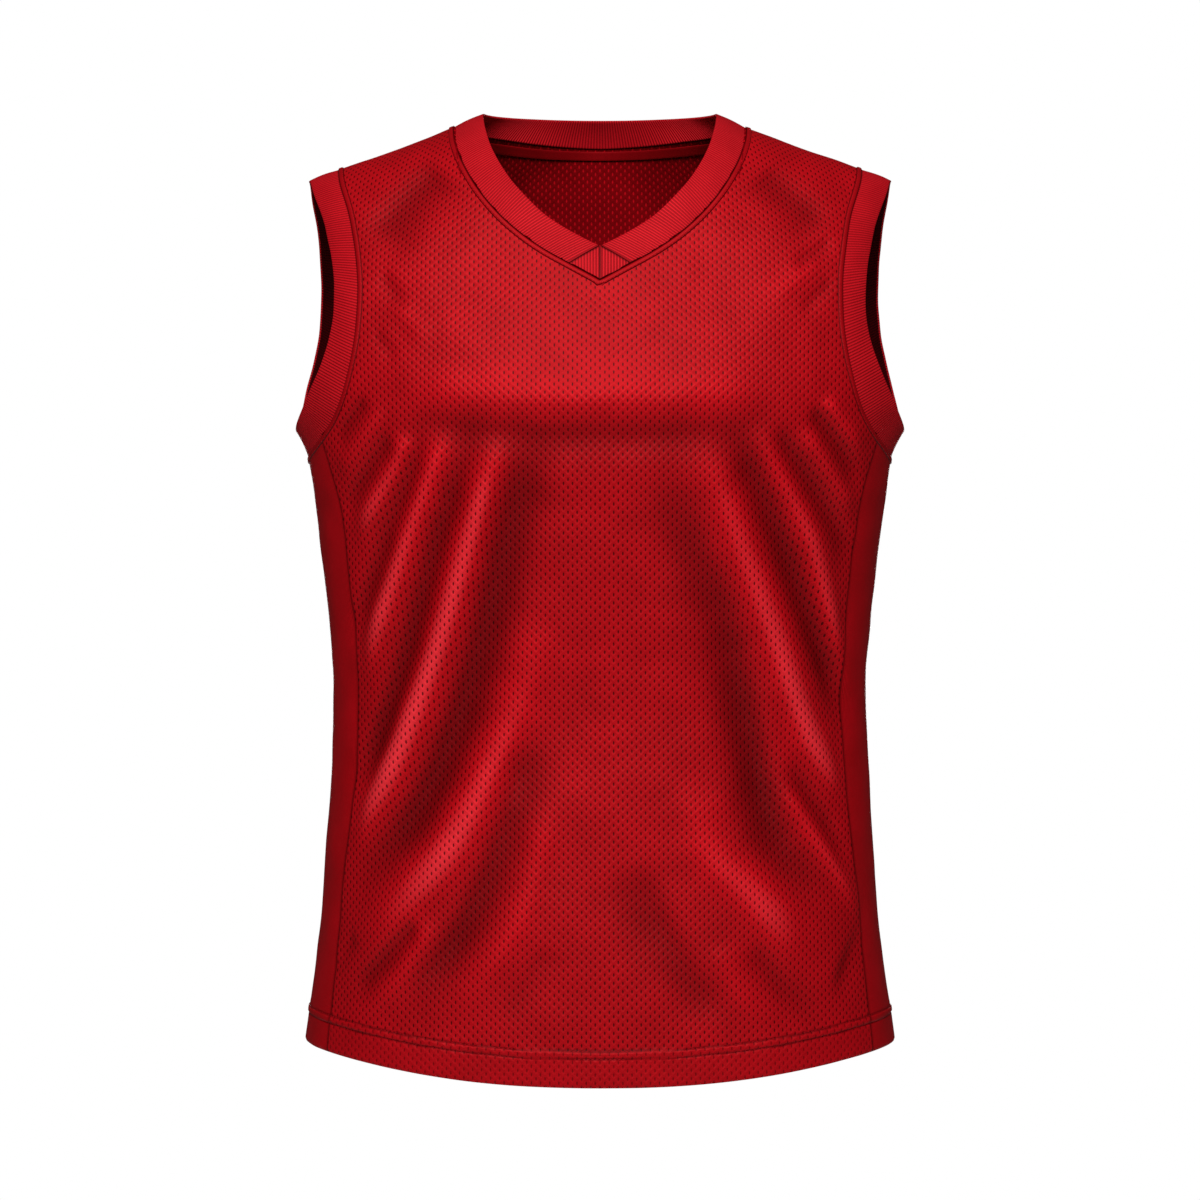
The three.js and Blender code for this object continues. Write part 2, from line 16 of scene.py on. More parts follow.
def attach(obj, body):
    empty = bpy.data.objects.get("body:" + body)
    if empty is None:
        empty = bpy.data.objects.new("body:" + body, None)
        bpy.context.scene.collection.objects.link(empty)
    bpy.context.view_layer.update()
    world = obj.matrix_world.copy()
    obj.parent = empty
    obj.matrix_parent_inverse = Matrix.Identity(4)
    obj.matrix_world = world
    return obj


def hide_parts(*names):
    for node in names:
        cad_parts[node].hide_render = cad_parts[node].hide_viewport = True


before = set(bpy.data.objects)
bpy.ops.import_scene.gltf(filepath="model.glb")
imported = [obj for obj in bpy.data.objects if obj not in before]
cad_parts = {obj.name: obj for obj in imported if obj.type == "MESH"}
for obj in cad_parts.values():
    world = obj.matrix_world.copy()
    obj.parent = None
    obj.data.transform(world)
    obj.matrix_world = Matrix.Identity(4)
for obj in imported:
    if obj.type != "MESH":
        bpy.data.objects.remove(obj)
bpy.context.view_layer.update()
MM = 0.001  # the tables below are in millimetres, and Blender's unit is the metre
print("pieces to dress:", sorted(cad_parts))

# %% [markdown]
# ## Camera, floor and light
# The jersey hangs in the air at chest height, seen straight on from about two and a half metres
# with a long lens, so its front and its hollow neck both show with little perspective. The light is
# a plain studio: one broad soft lamp high in front, a softer one behind, and a white surround that
# fills the shade a little. With one main lamp each crease has a light side and a dark side.

# %% Camera
VIEW_DISTANCE = 2.453
VIEW_LEVEL = -0.3477
LENS_MM = 100

camera_data = bpy.data.cameras.new("camera")
camera_data.lens = LENS_MM
camera_data.sensor_width = 36
camera = bpy.data.objects.new("camera", camera_data)
camera.location = (0, -VIEW_DISTANCE, VIEW_LEVEL)
camera.rotation_euler = (math.radians(90), 0, 0)
bpy.context.collection.objects.link(camera)
bpy.context.scene.camera = camera
print("camera", tuple(round(v, 3) for v in camera.location), "lens", LENS_MM, "mm")


# %% Colours
def linear(hex_colour):
    """An sRGB hex colour as the linear RGBA that shaders and lights take."""
    parts = [int(hex_colour[i : i + 2], 16) / 255 for i in (1, 3, 5)]
    parts = [p / 12.92 if p <= 0.04045 else ((p + 0.055) / 1.055) ** 2.4 for p in parts]
    return (*parts, 1.0)


def add_node(tree, kind, settings=None, links=None):
    """Adds a shader node, sets its values or its sockets' defaults, and links its inputs."""
    node = tree.nodes.new("ShaderNode" + kind)
    for key, value in (settings or {}).items():
        if isinstance(key, str) and hasattr(node, key):
            setattr(node, key, value)
        else:
            node.inputs[key].default_value = value
    for key, source in (links or {}).items():
        tree.links.new(source, node.inputs[key])
    return node


print("white is", linear("#FFFFFF"))

# %% Floor and lights
FLOOR_LEVEL = -1.4
FLOOR_HALF = 1.6

bpy.ops.object.select_all(action="DESELECT")
bpy.ops.mesh.primitive_plane_add(size=2 * FLOOR_HALF, location=(0, 0, 0))
floor = bpy.context.object
floor.name = floor.data.name = "studio_floor"
for vertex in floor.data.vertices:
    vertex.co.z = FLOOR_LEVEL
floor_paint = bpy.data.materials.new("matt_white_studio_paint")
floor_paint.use_nodes = True
floor_shader = floor_paint.node_tree.nodes["Principled BSDF"]
floor_shader.inputs["Base Color"].default_value = linear("#F4F4F2")
floor_shader.inputs["Roughness"].default_value = 0.9
floor.data.materials.append(floor_paint)

LIGHTS = [
    {"name": "key", "place": (-0.1, -2.3, 1.4), "wide": 1.8, "tall": 1.1, "watts": 98},
    {"name": "rear", "place": (0, 2.5, -0.1), "wide": 1.6, "tall": 1.0, "watts": 45},
]
AIM = Vector((0, 0, -0.3))
for row in LIGHTS:
    lamp = bpy.data.lights.new(row["name"], "AREA")
    lamp.shape = "RECTANGLE"
    lamp.size = row["wide"]
    lamp.size_y = row["tall"]
    lamp.energy = row["watts"]
    lamp_object = bpy.data.objects.new(row["name"], lamp)
    lamp_object.location = row["place"]
    lamp_object.rotation_euler = (AIM - Vector(row["place"])).to_track_quat("-Z", "Y").to_euler()
    bpy.context.collection.objects.link(lamp_object)

# The backdrop is plain white, and the light that comes from it is weaker than it looks.
SURROUND_LIGHT = 0.05
WHITE = linear("#FFFFFF")
world = bpy.data.worlds.new("white_surround")
world.use_nodes = True
bpy.context.scene.world = world
world_tree = world.node_tree
world_tree.nodes.clear()
lighting = add_node(world_tree, "Background", {"Color": WHITE, "Strength": SURROUND_LIGHT})
backdrop = add_node(world_tree, "Background", {"Color": WHITE, "Strength": 1.0})
seen = add_node(world_tree, "LightPath").outputs["Is Camera Ray"]
either = {0: seen, 1: lighting.outputs[0], 2: backdrop.outputs[0]}
surface = add_node(world_tree, "MixShader", links=either).outputs[0]
add_node(world_tree, "OutputWorld", links={"Surface": surface})
bpy.context.scene.view_settings.view_transform = "Standard"
print(len(LIGHTS), "lights")

# %% [markdown]
# ## The form
# A worn jersey is a tube that is wider than deep, closed over by two sloping shoulders. A place on
# it is a turn round the body in degrees (0 at the wearer's left side, 90 at the centre front, 180
# at the right side, minus 90 at the centre back) and a level. A short table of girths gives the
# tube, and a quarter circle rolls it over the shoulders. numpy works out thousands of places at
# once, which keeps this fast.

# %% Sizes of the cut
NECK_HALF = 107  # half the distance between the collar ends of the shoulder seams
SHOULDER_END = 192.8  # half the distance between their armhole ends
SHOULDER_SLOPE = 0.364
SHOULDER_SAG = 1
NECK_RISE = 0.004
NECK_ROUNDING = 20
ROLL_FRONT = 105
ROLL_BACK = 95
GIRTH_POWER = 0.889
QUARTER_GIRTH = 272  # cloth from centre front to the side

HEM_SIDE = -669
HEM_DIP_FRONT = 20
HEM_DIP_BACK = 16
HEM_CURVE = 2.6
HEM_DEPTH = 25.5
HEM_RIDGE = 5.5  # between the two lines of stitching above the hem

ARMHOLE_SEAM_FALL = 205.5
ARMHOLE_EDGE_FALL = 184
ARMHOLE_FLARE = 7
SIDE_JOIN = 156

COLLAR_EDGE_HALF = 86
COLLAR_EDGE_BACK = 75
COLLAR_RISE_SIDE = 11
COLLAR_RISE_BACK = 16
NECK_SEAM_BACK = -3.5
NECK_STEPS = 9
SHOULDER_STEPS = 4
BODY_ROWS = 16
ARM_ROWS = 10
FIRST_LEVEL = -60  # where the search for a level on the body starts


def table(columns, *rows):
    """Rows of numbers as dictionaries, keyed by the names of the columns."""
    return [dict(zip(columns.split(), row)) for row in rows]

GIRTHS = table(
    "level half front back",
    (-700, 218.5, 124, 119),
    (-668, 215.7, 123, 118),
    (-604, 207.5, 120, 113),
    (-516, 199.5, 113, 101),
    (-440, 195.9, 108, 93),
    (-383, 197.1, 110, 94),
    (-295, 206.3, 119, 103),
    (-245, 213.5, 125, 109),
    (-208, 219, 127, 112),
    (-165, 223.5, 117, 113),
    (-122, 226, 103, 110),
    (-70, 227, 88, 102),
    (-20, 227.5, 79, 92),
    (30, 227.5, 74, 84),
)
FRONT_NECK = table(
    "step seam_x seam_z edge_x edge_z",
    (0, 0, -122.1, 0, -96.9),
    (1, 22, -109.8, 0.4, -96.7),
    (2, 40, -99.3, 19, -87),
    (3, 57.5, -86.4, 39, -73.8),
    (4, 73.5, -71.2, 58, -54.5),
    (5, 87.5, -53.4, 69.5, -38.6),
    (6, 98.3, -34, 78, -22),
    (7, 104.4, -17.5, 83, -6.5),
    (8, 106.6, -5.2, 85.4, 5),
    (9, 107, 0, 86, 11),
)
ARMHOLE = table(
    "round seam edge",
    (0, 33, 20.4),
    (30, 35.3, 23.7),
    (60, 39.8, 30.2),
    (90, 42.1, 34),
    (120, 38.8, 30.9),
    (150, 27.5, 18.5),
    (180, 0, 0),
    (210, -20, -9),
    (240, -29, -17),
    (270, -33, -23),
    (300, -34, -23),
    (330, -33.2, -20.8),
    (360, -33, -20.4),
)
SIDE_SEAM = table(
    "share front back",
    (0, 26.6, 26),
    (0.25, 25.4, 25.5),
    (0.4, 27.6, 26),
    (0.55, 28.8, 27),
    (0.75, 28.9, 27),
    (0.9, 27.6, 24),
)
print("chest, flat:", round(2 * QUARTER_GIRTH), "mm")


# %% Smooth curves through the tables
def smooth_at(rows, key, column, at):
    """A smooth curve through one column of a table, keyed by another that only rises."""
    keys = np.array([row[key] for row in rows], float)
    values = np.array([row[column] for row in rows], float)
    at = np.asarray(at, float)
    last = len(rows) - 1
    after = np.minimum(np.arange(last + 1) + 1, last)
    before = np.maximum(np.arange(last + 1) - 1, 0)
    slopes = (values[after] - values[before]) / (keys[after] - keys[before])
    i = np.clip(np.searchsorted(keys, at, side="left") - 1, 0, last - 1)
    span = keys[i + 1] - keys[i]
    t = np.clip((at - keys[i]) / span, 0, 1)
    start = (2 * t**3 - 3 * t**2 + 1) * values[i] + (t**3 - 2 * t**2 + t) * span * slopes[i]
    return start + (3 * t**2 - 2 * t**3) * values[i + 1] + (t**3 - t**2) * span * slopes[i + 1]


def smoothstep(value, low, high):
    t = np.clip((value - low) / (high - low), 0, 1)
    return t * t * (3 - 2 * t)


def mix(a, b, share):
    return a + (b - a) * share


def signed_power(value, power):
    return np.sign(value) * np.abs(value) ** power


print("half width at the waist:", smooth_at(GIRTHS, "level", "half", -440))


# %% Places on the form
def shoulder_line(x):
    inside = math.hypot(NECK_HALF, NECK_ROUNDING) - np.hypot(x, NECK_ROUNDING)
    along = np.clip((np.abs(x) - NECK_HALF) / (SHOULDER_END - NECK_HALF), 0, 1)
    sag = SHOULDER_SAG * np.sin(np.pi * along) ** 2
    return SHOULDER_SLOPE * (NECK_HALF - np.abs(x)) + NECK_RISE * np.maximum(inside, 0) ** 2 - sag


def x_at(turn, level):
    half = smooth_at(GIRTHS, "level", "half", level)
    return half * signed_power(np.cos(np.radians(turn)), GIRTH_POWER)


def turn_at(x, level):
    half = smooth_at(GIRTHS, "level", "half", level)
    return np.degrees(np.arccos(np.clip((np.abs(x) / half) ** (1 / GIRTH_POWER), 0, 1)))


def settled_level(turn, drop, passes):
    """The level that lies a drop below the shoulder line, found by trying again a few times."""
    level = FIRST_LEVEL
    for _ in range(passes):
        level = shoulder_line(x_at(turn, level)) - drop
    return level


def fall_point(turn, fall):
    """fall is 0 on the shoulder line, a right angle where the roll ends, and grows on down."""
    turn, fall = np.broadcast_arrays(np.asarray(turn, float), np.asarray(fall, float))
    is_front = np.sin(np.radians(turn)) >= 0
    roll = np.where(is_front, ROLL_FRONT, ROLL_BACK)
    on_roll = np.minimum(fall, np.pi / 2)
    drop = roll * (1 - np.cos(on_roll)) + roll * (fall - on_roll)
    level = settled_level(turn, drop, 2)
    front = smooth_at(GIRTHS, "level", "front", level)
    back = smooth_at(GIRTHS, "level", "back", level)
    depth = np.where(is_front, front, back) * np.sin(on_roll)
    y = -depth * signed_power(np.sin(np.radians(turn)), GIRTH_POWER)
    return np.stack([x_at(turn, level), y, level], -1)


def fall_at(turn, level):
    roll = np.where(np.sin(np.radians(turn)) >= 0, ROLL_FRONT, ROLL_BACK)
    drop = np.maximum(shoulder_line(x_at(turn, level)) - level, 0)
    on_roll = np.arccos(np.clip(1 - drop / roll, -1, 1))
    return np.where(drop < roll, on_roll, np.pi / 2 + (drop - roll) / roll)


def unit(vectors):
    return vectors / np.maximum(np.linalg.norm(vectors, axis=-1, keepdims=True), 1e-9)
TURN_STEP = 0.5
FALL_STEP = 0.01


def tangents(turn, fall):
    """How far a point moves for a degree of turn, and for a unit of fall."""
    across = fall_point(turn + TURN_STEP, fall) - fall_point(turn - TURN_STEP, fall)
    down = fall_point(turn, fall + FALL_STEP) - fall_point(turn, fall - FALL_STEP)
    return across, down / (2 * FALL_STEP)


def form_normal(turn, fall):
    across, down = tangents(turn, fall)
    return unit(np.cross(across, down))


print("centre front at chest level:", fall_point(90, fall_at(90, -208)).round(1))

# %% [markdown]
# ## Creases
# Cloth that hangs from the chest falls in long soft creases that run out to the side seams, deep on
# one side of each crest and shallow on the other. Each is one row of a table, and they are uneven,
# as creases are. The back's are drawn to suit.

# %% Rows of creases
# Each row is the line of a crest or a hollow, as distances from the centre line (minus is the
# wearer's right) and levels. Its half-width at both ends follows, then how far it stands out at
# both ends, minus for a hollow. All are in millimetres.
FRONT_FOLDS = [
    # the wearer's right, from the armhole in towards the middle
    (((-166, -204), (-180, -221), (-192, -238)), (6, 7), (-3, -3)),
    (((-150, -212), (-174, -242), (-190, -258)), (6, 8), (3, 2)),
    (((-146, -230), (-170, -263), (-188, -292)), (7, 10), (-4, -4)),
    (((-134, -230), (-149, -263), (-176, -312)), (7, 11), (3, 6)),
    (((-121, -226), (-144, -284), (-169, -348), (-184, -378)), (8, 13), (-5, -5)),
    (((-104, -219), (-129, -284), (-150, -348), (-172, -412)), (9, 13), (4, 8)),
    (((-84, -217), (-115, -305), (-140, -390), (-165, -454), (-186, -494)), (9, 15), (-6, -8)),
    (((-67, -219), (-91, -305), (-117, -390), (-150, -475), (-186, -538)), (10, 15), (5, 10)),
    (((-42, -220), (-66, -305), (-94, -411), (-131, -496), (-184, -570)), (12, 17), (-6, -10)),
    (((-38, -352), (-54, -411), (-81, -475), (-115, -538), (-178, -608)), (12, 17), (1, 9)),
    (((-44, -430), (-69, -517), (-99, -581), (-148, -652)), (12, 13), (-3, -8)),
    (((-34, -480), (-52, -560), (-75, -602), (-110, -650)), (10, 10), (2, 3)),
    (((-34, -590), (-54, -623), (-72, -656)), (9, 9), (-2, -2)),
    (((-128, -574), (-153, -602), (-180, -632)), (8, 10), (-4, -6)),
    (((-116, -572), (-134, -602), (-148, -623), (-176, -650)), (8, 9), (2, 4)),
    (((-176, -584), (-184, -602), (-194, -620)), (7, 7), (-3, -3)),
    # the wearer's left
    (((158, -204), (172, -223), (190, -246)), (6, 7), (3, 2)),
    (((148, -210), (172, -242), (190, -270)), (7, 10), (-5, -4)),
    (((140, -224), (166, -263), (186, -290)), (7, 9), (3, 3)),
    (((120, -224), (148, -263), (173, -303), (189, -330)), (8, 12), (-6, -4)),
    (((107, -220), (129, -263), (148, -305), (166, -369), (184, -410)), (9, 12), (3, 6)),
    (((86, -217), (120, -284), (146, -348), (171, -411), (186, -446)), (10, 14), (-6, -8)),
    (((73, -230), (97, -305), (121, -369), (152, -454), (186, -504)), (11, 14), (3, 8)),
    (((44, -234), (64, -305), (91, -370), (106, -440), (127, -517), (172, -572)), (13, 18), (-3, -10)),
    (((62, -468), (76, -524), (110, -560), (150, -610)), (14, 17), (1, 7)),
    (((132, -462), (156, -496), (169, -517), (188, -552)), (8, 10), (-3, -4)),
    (((126, -474), (152, -517), (179, -560), (190, -576)), (8, 10), (3, 5)),
    (((22, -528), (43, -581), (69, -623), (88, -654)), (14, 12), (-3, -6)),
    (((82, -588), (98, -623), (122, -652)), (9, 10), (1.5, 3)),
    (((106, -588), (132, -623), (160, -652)), (9, 11), (-3, -4)),
    (((188, -584), (178, -606), (166, -634)), (9, 9), (-4, -4)),
    # under the chest, where the cloth leaves the body
    (((-150, -222), (-70, -231), (0, -234), (70, -231), (150, -222)), (13, 13), (-3.2, -3.2)),
    (((-150, -198), (-70, -204), (0, -206), (70, -204), (150, -198)), (13, 13), (1.8, 1.8)),
    # short creases round the chest and shoulders
    (((-157, -113), (-147, -128), (-137, -144)), (5, 6), (-1.9, -1.9)),
    (((-161, -157), (-152, -167), (-143, -180)), (4, 5), (-1.7, -1.7)),
    (((-150, -134), (-136, -150), (-118, -168)), (5, 7), (1.5, 1.5)),
    (((167, -88), (152, -100), (136, -112)), (5, 6), (-2, -2)),
    (((167, -118), (154, -130), (140, -145)), (4, 5), (-1.7, -1.7)),
    (((158, -104), (140, -121), (120, -138)), (5, 7), (1.5, 1.5)),
    (((-112, -34), (-142, -62), (-168, -92)), (15, 17), (-4, -4)),
    (((116, -36), (140, -58), (166, -84)), (14, 15), (-3, -3)),
]
BACK_FOLDS = [
    (((-20, -330), (-85, -455), (-176, -560)), (15, 18), (-6, -9)),
    (((-60, -232), (-112, -380), (-184, -482)), (12, 15), (5, 8)),
    (((-84, -222), (-128, -330), (-184, -412)), (11, 14), (-5, -7)),
    (((-104, -220), (-142, -296), (-182, -352)), (9, 12), (4, 5)),
    (((-126, -218), (-156, -264), (-186, -302)), (8, 10), (-4, -4)),
    (((-6, -430), (-62, -560), (-150, -650)), (14, 14), (3, 7)),
    (((4, -520), (-36, -606), (-92, -658)), (13, 13), (-3, -6)),
    (((-96, -560), (-138, -600), (-184, -622)), (9, 10), (2, 4)),
    (((24, -300), (84, -440), (178, -545)), (15, 18), (-6, -9)),
    (((66, -228), (118, -360), (186, -455)), (12, 15), (5, 8)),
    (((92, -220), (134, -312), (186, -388)), (10, 13), (-5, -6)),
    (((112, -214), (148, -276), (186, -324)), (8, 11), (3, 4)),
    (((40, -470), (80, -580), (136, -654)), (13, 14), (-3, -7)),
    (((20, -400), (72, -520), (160, -626)), (14, 15), (3, 7)),
    (((128, -540), (160, -572), (190, -590)), (8, 9), (2, 3)),
    (((-150, -90), (-120, -118), (-84, -140)), (8, 12), (-2.4, -2.4)),
    (((150, -96), (122, -122), (88, -146)), (8, 12), (-2.4, -2.4)),
    (((-168, -160), (-146, -178), (-120, -190)), (6, 8), (1.8, 1.8)),
    (((168, -150), (148, -168), (122, -184)), (6, 8), (1.8, 1.8)),
    (((-40, -40), (-44, -90), (-38, -140)), (14, 18), (2, 2)),
    (((44, -44), (46, -88), (40, -130)), (14, 18), (2, 2)),
]
FOLD_PARTS = 18
FADE_IN = 0.18  # the share of its length over which a crease begins
FADE_OUT = 0.3  # the share over which it ends
FOLD_REACH = 3  # half-widths, past which a crease is flat
STEEP = 0.25  # how much narrower a crease is on the side that faces down
print(len(FRONT_FOLDS), "creases in front,", len(BACK_FOLDS), "behind")


# %% How far a place stands out of the form
def on_cloth(x, level):
    """Distance on the cloth from the centre line, plus on the wearer's left."""
    return np.sign(x) * QUARTER_GIRTH * (1 - turn_at(x, level) / 90)


def fold_lines(folds):
    lines = []
    for path, wide, rise in folds:
        places = [{"step": i, "at": on_cloth(x, z), "level": z} for i, (x, z) in enumerate(path)]
        steps = np.linspace(0, len(path) - 1, FOLD_PARTS + 1)
        curve = [smooth_at(places, "step", column, steps) for column in ("at", "level")]
        lines.append((np.stack(curve, -1), wide, rise))
    return lines


FRONT_LINES = fold_lines(FRONT_FOLDS)
BACK_LINES = fold_lines(BACK_FOLDS)


def crease_height(line, spots):
    points, wide, rise = line
    best = np.full(len(spots), np.inf)
    share = np.zeros(len(spots))
    side = np.zeros(len(spots))
    for i in range(FOLD_PARTS):
        step = points[i + 1] - points[i]
        offset = spots - points[i]
        t = np.clip(offset @ step / (step @ step), 0, 1)
        away = offset - t[:, None] * step
        distance = np.hypot(away[:, 0], away[:, 1])
        nearer = distance < best
        best = np.where(nearer, distance, best)
        share = np.where(nearer, (i + t) / FOLD_PARTS, share)
        side = np.where(nearer, np.sign(away[:, 1]), side)
    height = mix(*rise, share)
    half = mix(*wide, share) * (1 + STEEP * side * np.sign(height))
    fade = smoothstep(share, 0, FADE_IN) * smoothstep(1 - share, 0, FADE_OUT)
    return height * fade * np.exp(-((best / half) ** 2))


def near_line(line, spots):
    points, wide, _ = line
    reach = FOLD_REACH * max(wide)
    low, high = points.min(0) - reach, points.max(0) + reach
    return np.all((spots > low) & (spots < high), axis=1)

CALM = 0.3  # what is left of a crease at the hem and at a side seam, where stitches hold the cloth
CALM_HEM_REACH = 90
CALM_SEAM = (160, 194)  # mm from the centre line


def fold_height(turn, level):
    turn = (np.asarray(turn, float) + 180) % 360 - 180
    is_front = turn >= 0
    offset = np.where(is_front, 90 - turn, turn + 90) / 90 * QUARTER_GIRTH
    spots = np.stack([offset.ravel(), np.broadcast_to(level, turn.shape).ravel()], -1)
    height = np.zeros(len(spots))
    for wanted, lines in ((is_front, FRONT_LINES), (~is_front, BACK_LINES)):
        for line in lines:
            chosen = wanted.ravel() & near_line(line, spots)
            height[chosen] += crease_height(line, spots[chosen])
    calm_hem = mix(CALM, 1, smoothstep(spots[:, 1], HEM_SIDE, HEM_SIDE + CALM_HEM_REACH))
    calm_seam = mix(1, CALM, smoothstep(np.abs(spots[:, 0]), *CALM_SEAM))
    return (height * calm_hem * calm_seam).reshape(turn.shape)


RIPPLE_SIZE = 62  # mm from one faint hollow of the cloth to the next
RIPPLE_RISE = 1.3
SMALL_RIPPLE_SIZE = 21
SMALL_RIPPLE_SHARE = 0.4


def ripple(points):
    """Faint unevenness, so that no stretch of the cloth is perfectly smooth."""
    heights = [
        noise.noise(Vector(p) / RIPPLE_SIZE)
        + SMALL_RIPPLE_SHARE * noise.noise(Vector(p) / SMALL_RIPPLE_SIZE)
        for p in points.reshape(-1, 3)
    ]
    return RIPPLE_RISE * np.array(heights).reshape(points.shape[:-1])


def cloth_point(turn, level):
    """The cloth's outer face at a place, and its outward normal."""
    fall = fall_at(turn, level)
    normal = form_normal(turn, fall)
    base = fall_point(turn, fall)
    return base + normal * (fold_height(turn, level) + ripple(base))[..., None], normal


print("a crest stands out by", fold_height(np.array([74.0]), np.array([-380.0])).round(1), "mm")

# %% [markdown]
# ## Where the cloth's grain runs
# A knit's holes and ribs are spaced in real millimetres along and across the cloth. So each piece
# gets a UV map in metres of cloth: across is the girth from the centre line, up is the length of
# the curved face. A table of the form's lengths, filled once, turns every place into those two
# numbers.

# %% Lengths over the form
GRAIN_TURNS = np.linspace(-2, 92, 95)  # degrees from the side to the centre line, and a little past
GRAIN_LEVELS = np.linspace(-700, 45, 374)


def run_lengths(points, axis):
    """Millimetres walked from the first place, for every line of a grid along an axis."""
    steps = np.diff(points, axis=axis, prepend=np.take(points, [0], axis))
    return np.linalg.norm(steps, axis=-1).cumsum(axis)


def grain_tables(side):
    turns, levels = np.meshgrid(GRAIN_TURNS, GRAIN_LEVELS, indexing="ij")
    turns = side * np.clip(turns, 0, 90)
    points = fall_point(turns, fall_at(turns, levels))
    girth = run_lengths(points, 0)
    return girth[-1] - girth, run_lengths(points, 1)


FRONT_GRAIN = grain_tables(1)
BACK_GRAIN = grain_tables(-1)


def line_before(lines, value):
    """The evenly spaced line before a value, and the share of the step past it."""
    place = np.clip((value - lines[0]) / (lines[1] - lines[0]), 0, len(lines) - 1.001)
    return place.astype(int), place - place.astype(int)


def look_up(lengths, turn, level):
    (a, s), (b, t) = line_before(GRAIN_TURNS, turn), line_before(GRAIN_LEVELS, level)
    low = lengths[a, b] * (1 - t) + lengths[a, b + 1] * t
    return low * (1 - s) + (lengths[a + 1, b] * (1 - t) + lengths[a + 1, b + 1] * t) * s


def grain(turn, level):
    """Millimetres of cloth across from the centre line and up from the bottom."""
    turn = (np.asarray(turn, float) + 180) % 360 - 180
    from_side = np.minimum(np.abs(turn), 180 - np.abs(turn))
    across, up = (
        np.where(turn >= 0, look_up(front, from_side, level), look_up(back, from_side, level))
        for front, back in zip(FRONT_GRAIN, BACK_GRAIN)
    )
    return np.stack([across * np.where(np.abs(turn) > 90, -1, 1), up], -1)


print("girth of a front half at the waist:", grain(np.array([0.0]), np.array([-440.0])).round(0))


# %% Seam lines
def hem_level(turn):
    s = np.sin(np.radians(turn))
    dip = np.where(s > 0, HEM_DIP_FRONT, HEM_DIP_BACK)
    return HEM_SIDE - dip * np.abs(s) ** HEM_CURVE


SHOULDER_TURN = float(turn_at(SHOULDER_END, shoulder_line(np.array(SHOULDER_END))))
ARMHOLE[0]["seam"], ARMHOLE[-1]["seam"] = SHOULDER_TURN, -SHOULDER_TURN


def armhole_place(around, line):
    """around: 0 at the shoulder, 90 in front, 180 under the arm, 270 behind."""
    turn = smooth_at(ARMHOLE, "round", line, around)
    fall = ARMHOLE_SEAM_FALL if line == "seam" else ARMHOLE_EDGE_FALL
    drop = fall / 2 * (1 - np.cos(np.radians(around)))
    return turn, settled_level(turn, drop, 4)


def side_seam_place(share, face):
    around = SIDE_JOIN if face == "front" else 360 - SIDE_JOIN
    top_turn, top_level = armhole_place(np.array(float(around)), "seam")
    rows = SIDE_SEAM + [{"share": 1, face: abs(float(top_turn))}]
    turn = smooth_at(rows, "share", face, share) * (1 if face == "front" else -1)
    return turn, mix(hem_level(turn), top_level, share)


def outer_edge_place(row, face):
    """The edge of a front or back half, from the hem up the side seam and round the armhole."""
    side_turn, side_level = side_seam_place(np.clip(row / BODY_ROWS, 0, 1), face)
    left = np.clip((BODY_ROWS + ARM_ROWS - row) / ARM_ROWS, 0, 1)
    around = SIDE_JOIN * left if face == "front" else 360 - SIDE_JOIN * left
    arm_turn, arm_level = armhole_place(around, "seam")
    on_side = row <= BODY_ROWS
    return np.abs(np.where(on_side, side_turn, arm_turn)), np.where(on_side, side_level, arm_level)


def neck_seam_place(column, face):
    if face == "front":
        x = smooth_at(FRONT_NECK, "step", "seam_x", column)
        level = smooth_at(FRONT_NECK, "step", "seam_z", column)
    else:
        x = NECK_HALF * np.sin(np.radians(column / NECK_STEPS * 90))
        level = np.minimum(NECK_SEAM_BACK * (1 - (x / NECK_HALF) ** 2), shoulder_line(x))
    return turn_at(x, level), level


def top_edge_place(column, face):
    neck_turn, neck_level = neck_seam_place(np.minimum(column, NECK_STEPS), face)
    x = mix(NECK_HALF, SHOULDER_END, np.clip((column - NECK_STEPS) / SHOULDER_STEPS, 0, 1))
    level = shoulder_line(x)
    on_neck = column <= NECK_STEPS
    return np.where(on_neck, neck_turn, turn_at(x, level)), np.where(on_neck, neck_level, level)


print("underarm level:", armhole_place(np.array([180.0]), "seam")[1].round(1))

# %% [markdown]
# ## Materials
# All three cloths are red polyester, dyed in one vat, and differ in how they are knitted. Filament
# polyester is smooth and slightly clear, so much of its shine comes back in the colour of the dye,
# as on satin. A metallic share gives that tinted shine, and the rest of the light is scattered as
# in any cloth. The mesh's holes are about a millimetre wide, so they are drawn in the colour: dark
# outside, where they show the unlit inside, and light on the reverse, where they let the light in.
# Open holes in the front and the back together would only let the bright backdrop glitter through.

# %% Patterns in millimetres of cloth
EYELET_ACROSS = 6.4  # from one eyelet to the next in a row
EYELET_UP = 5.8  # from one row to the next but one: every other row is shifted by half
EYELET_HALF_WIDTH = 0.42
EYELET_OVAL = 0.44  # its width as a share of its height
EYELET_SOFTNESS = 0.3
RIDGE_REACH = 3.22  # from an eyelet to the top of the raised knit between it and the next
HOLE_SHADE = 0.18  # what is left of the cloth's colour where a hole shows the dark inside
LIT_HOLE_SHADE = 2.6  # seen from the inside, a hole lets the light in
HEM_HOLE_SHADE = 0.45  # in the hem a hole shows the turned-up ply
# Painted light and shade: a crease darkens the colour in its hollow and lightens it on its crest.
CREASE_SPAN = 9  # mm from the form to where a crease is at its lightest or deepest
HOLLOW_PAINTED_SHADE = 0.34
CREST_PAINTED_LIGHT = 1.32
# Painted shade in a seam's groove and under the hem's lines of stitches.
GROOVE_PAINTED_SHADE = 0.3
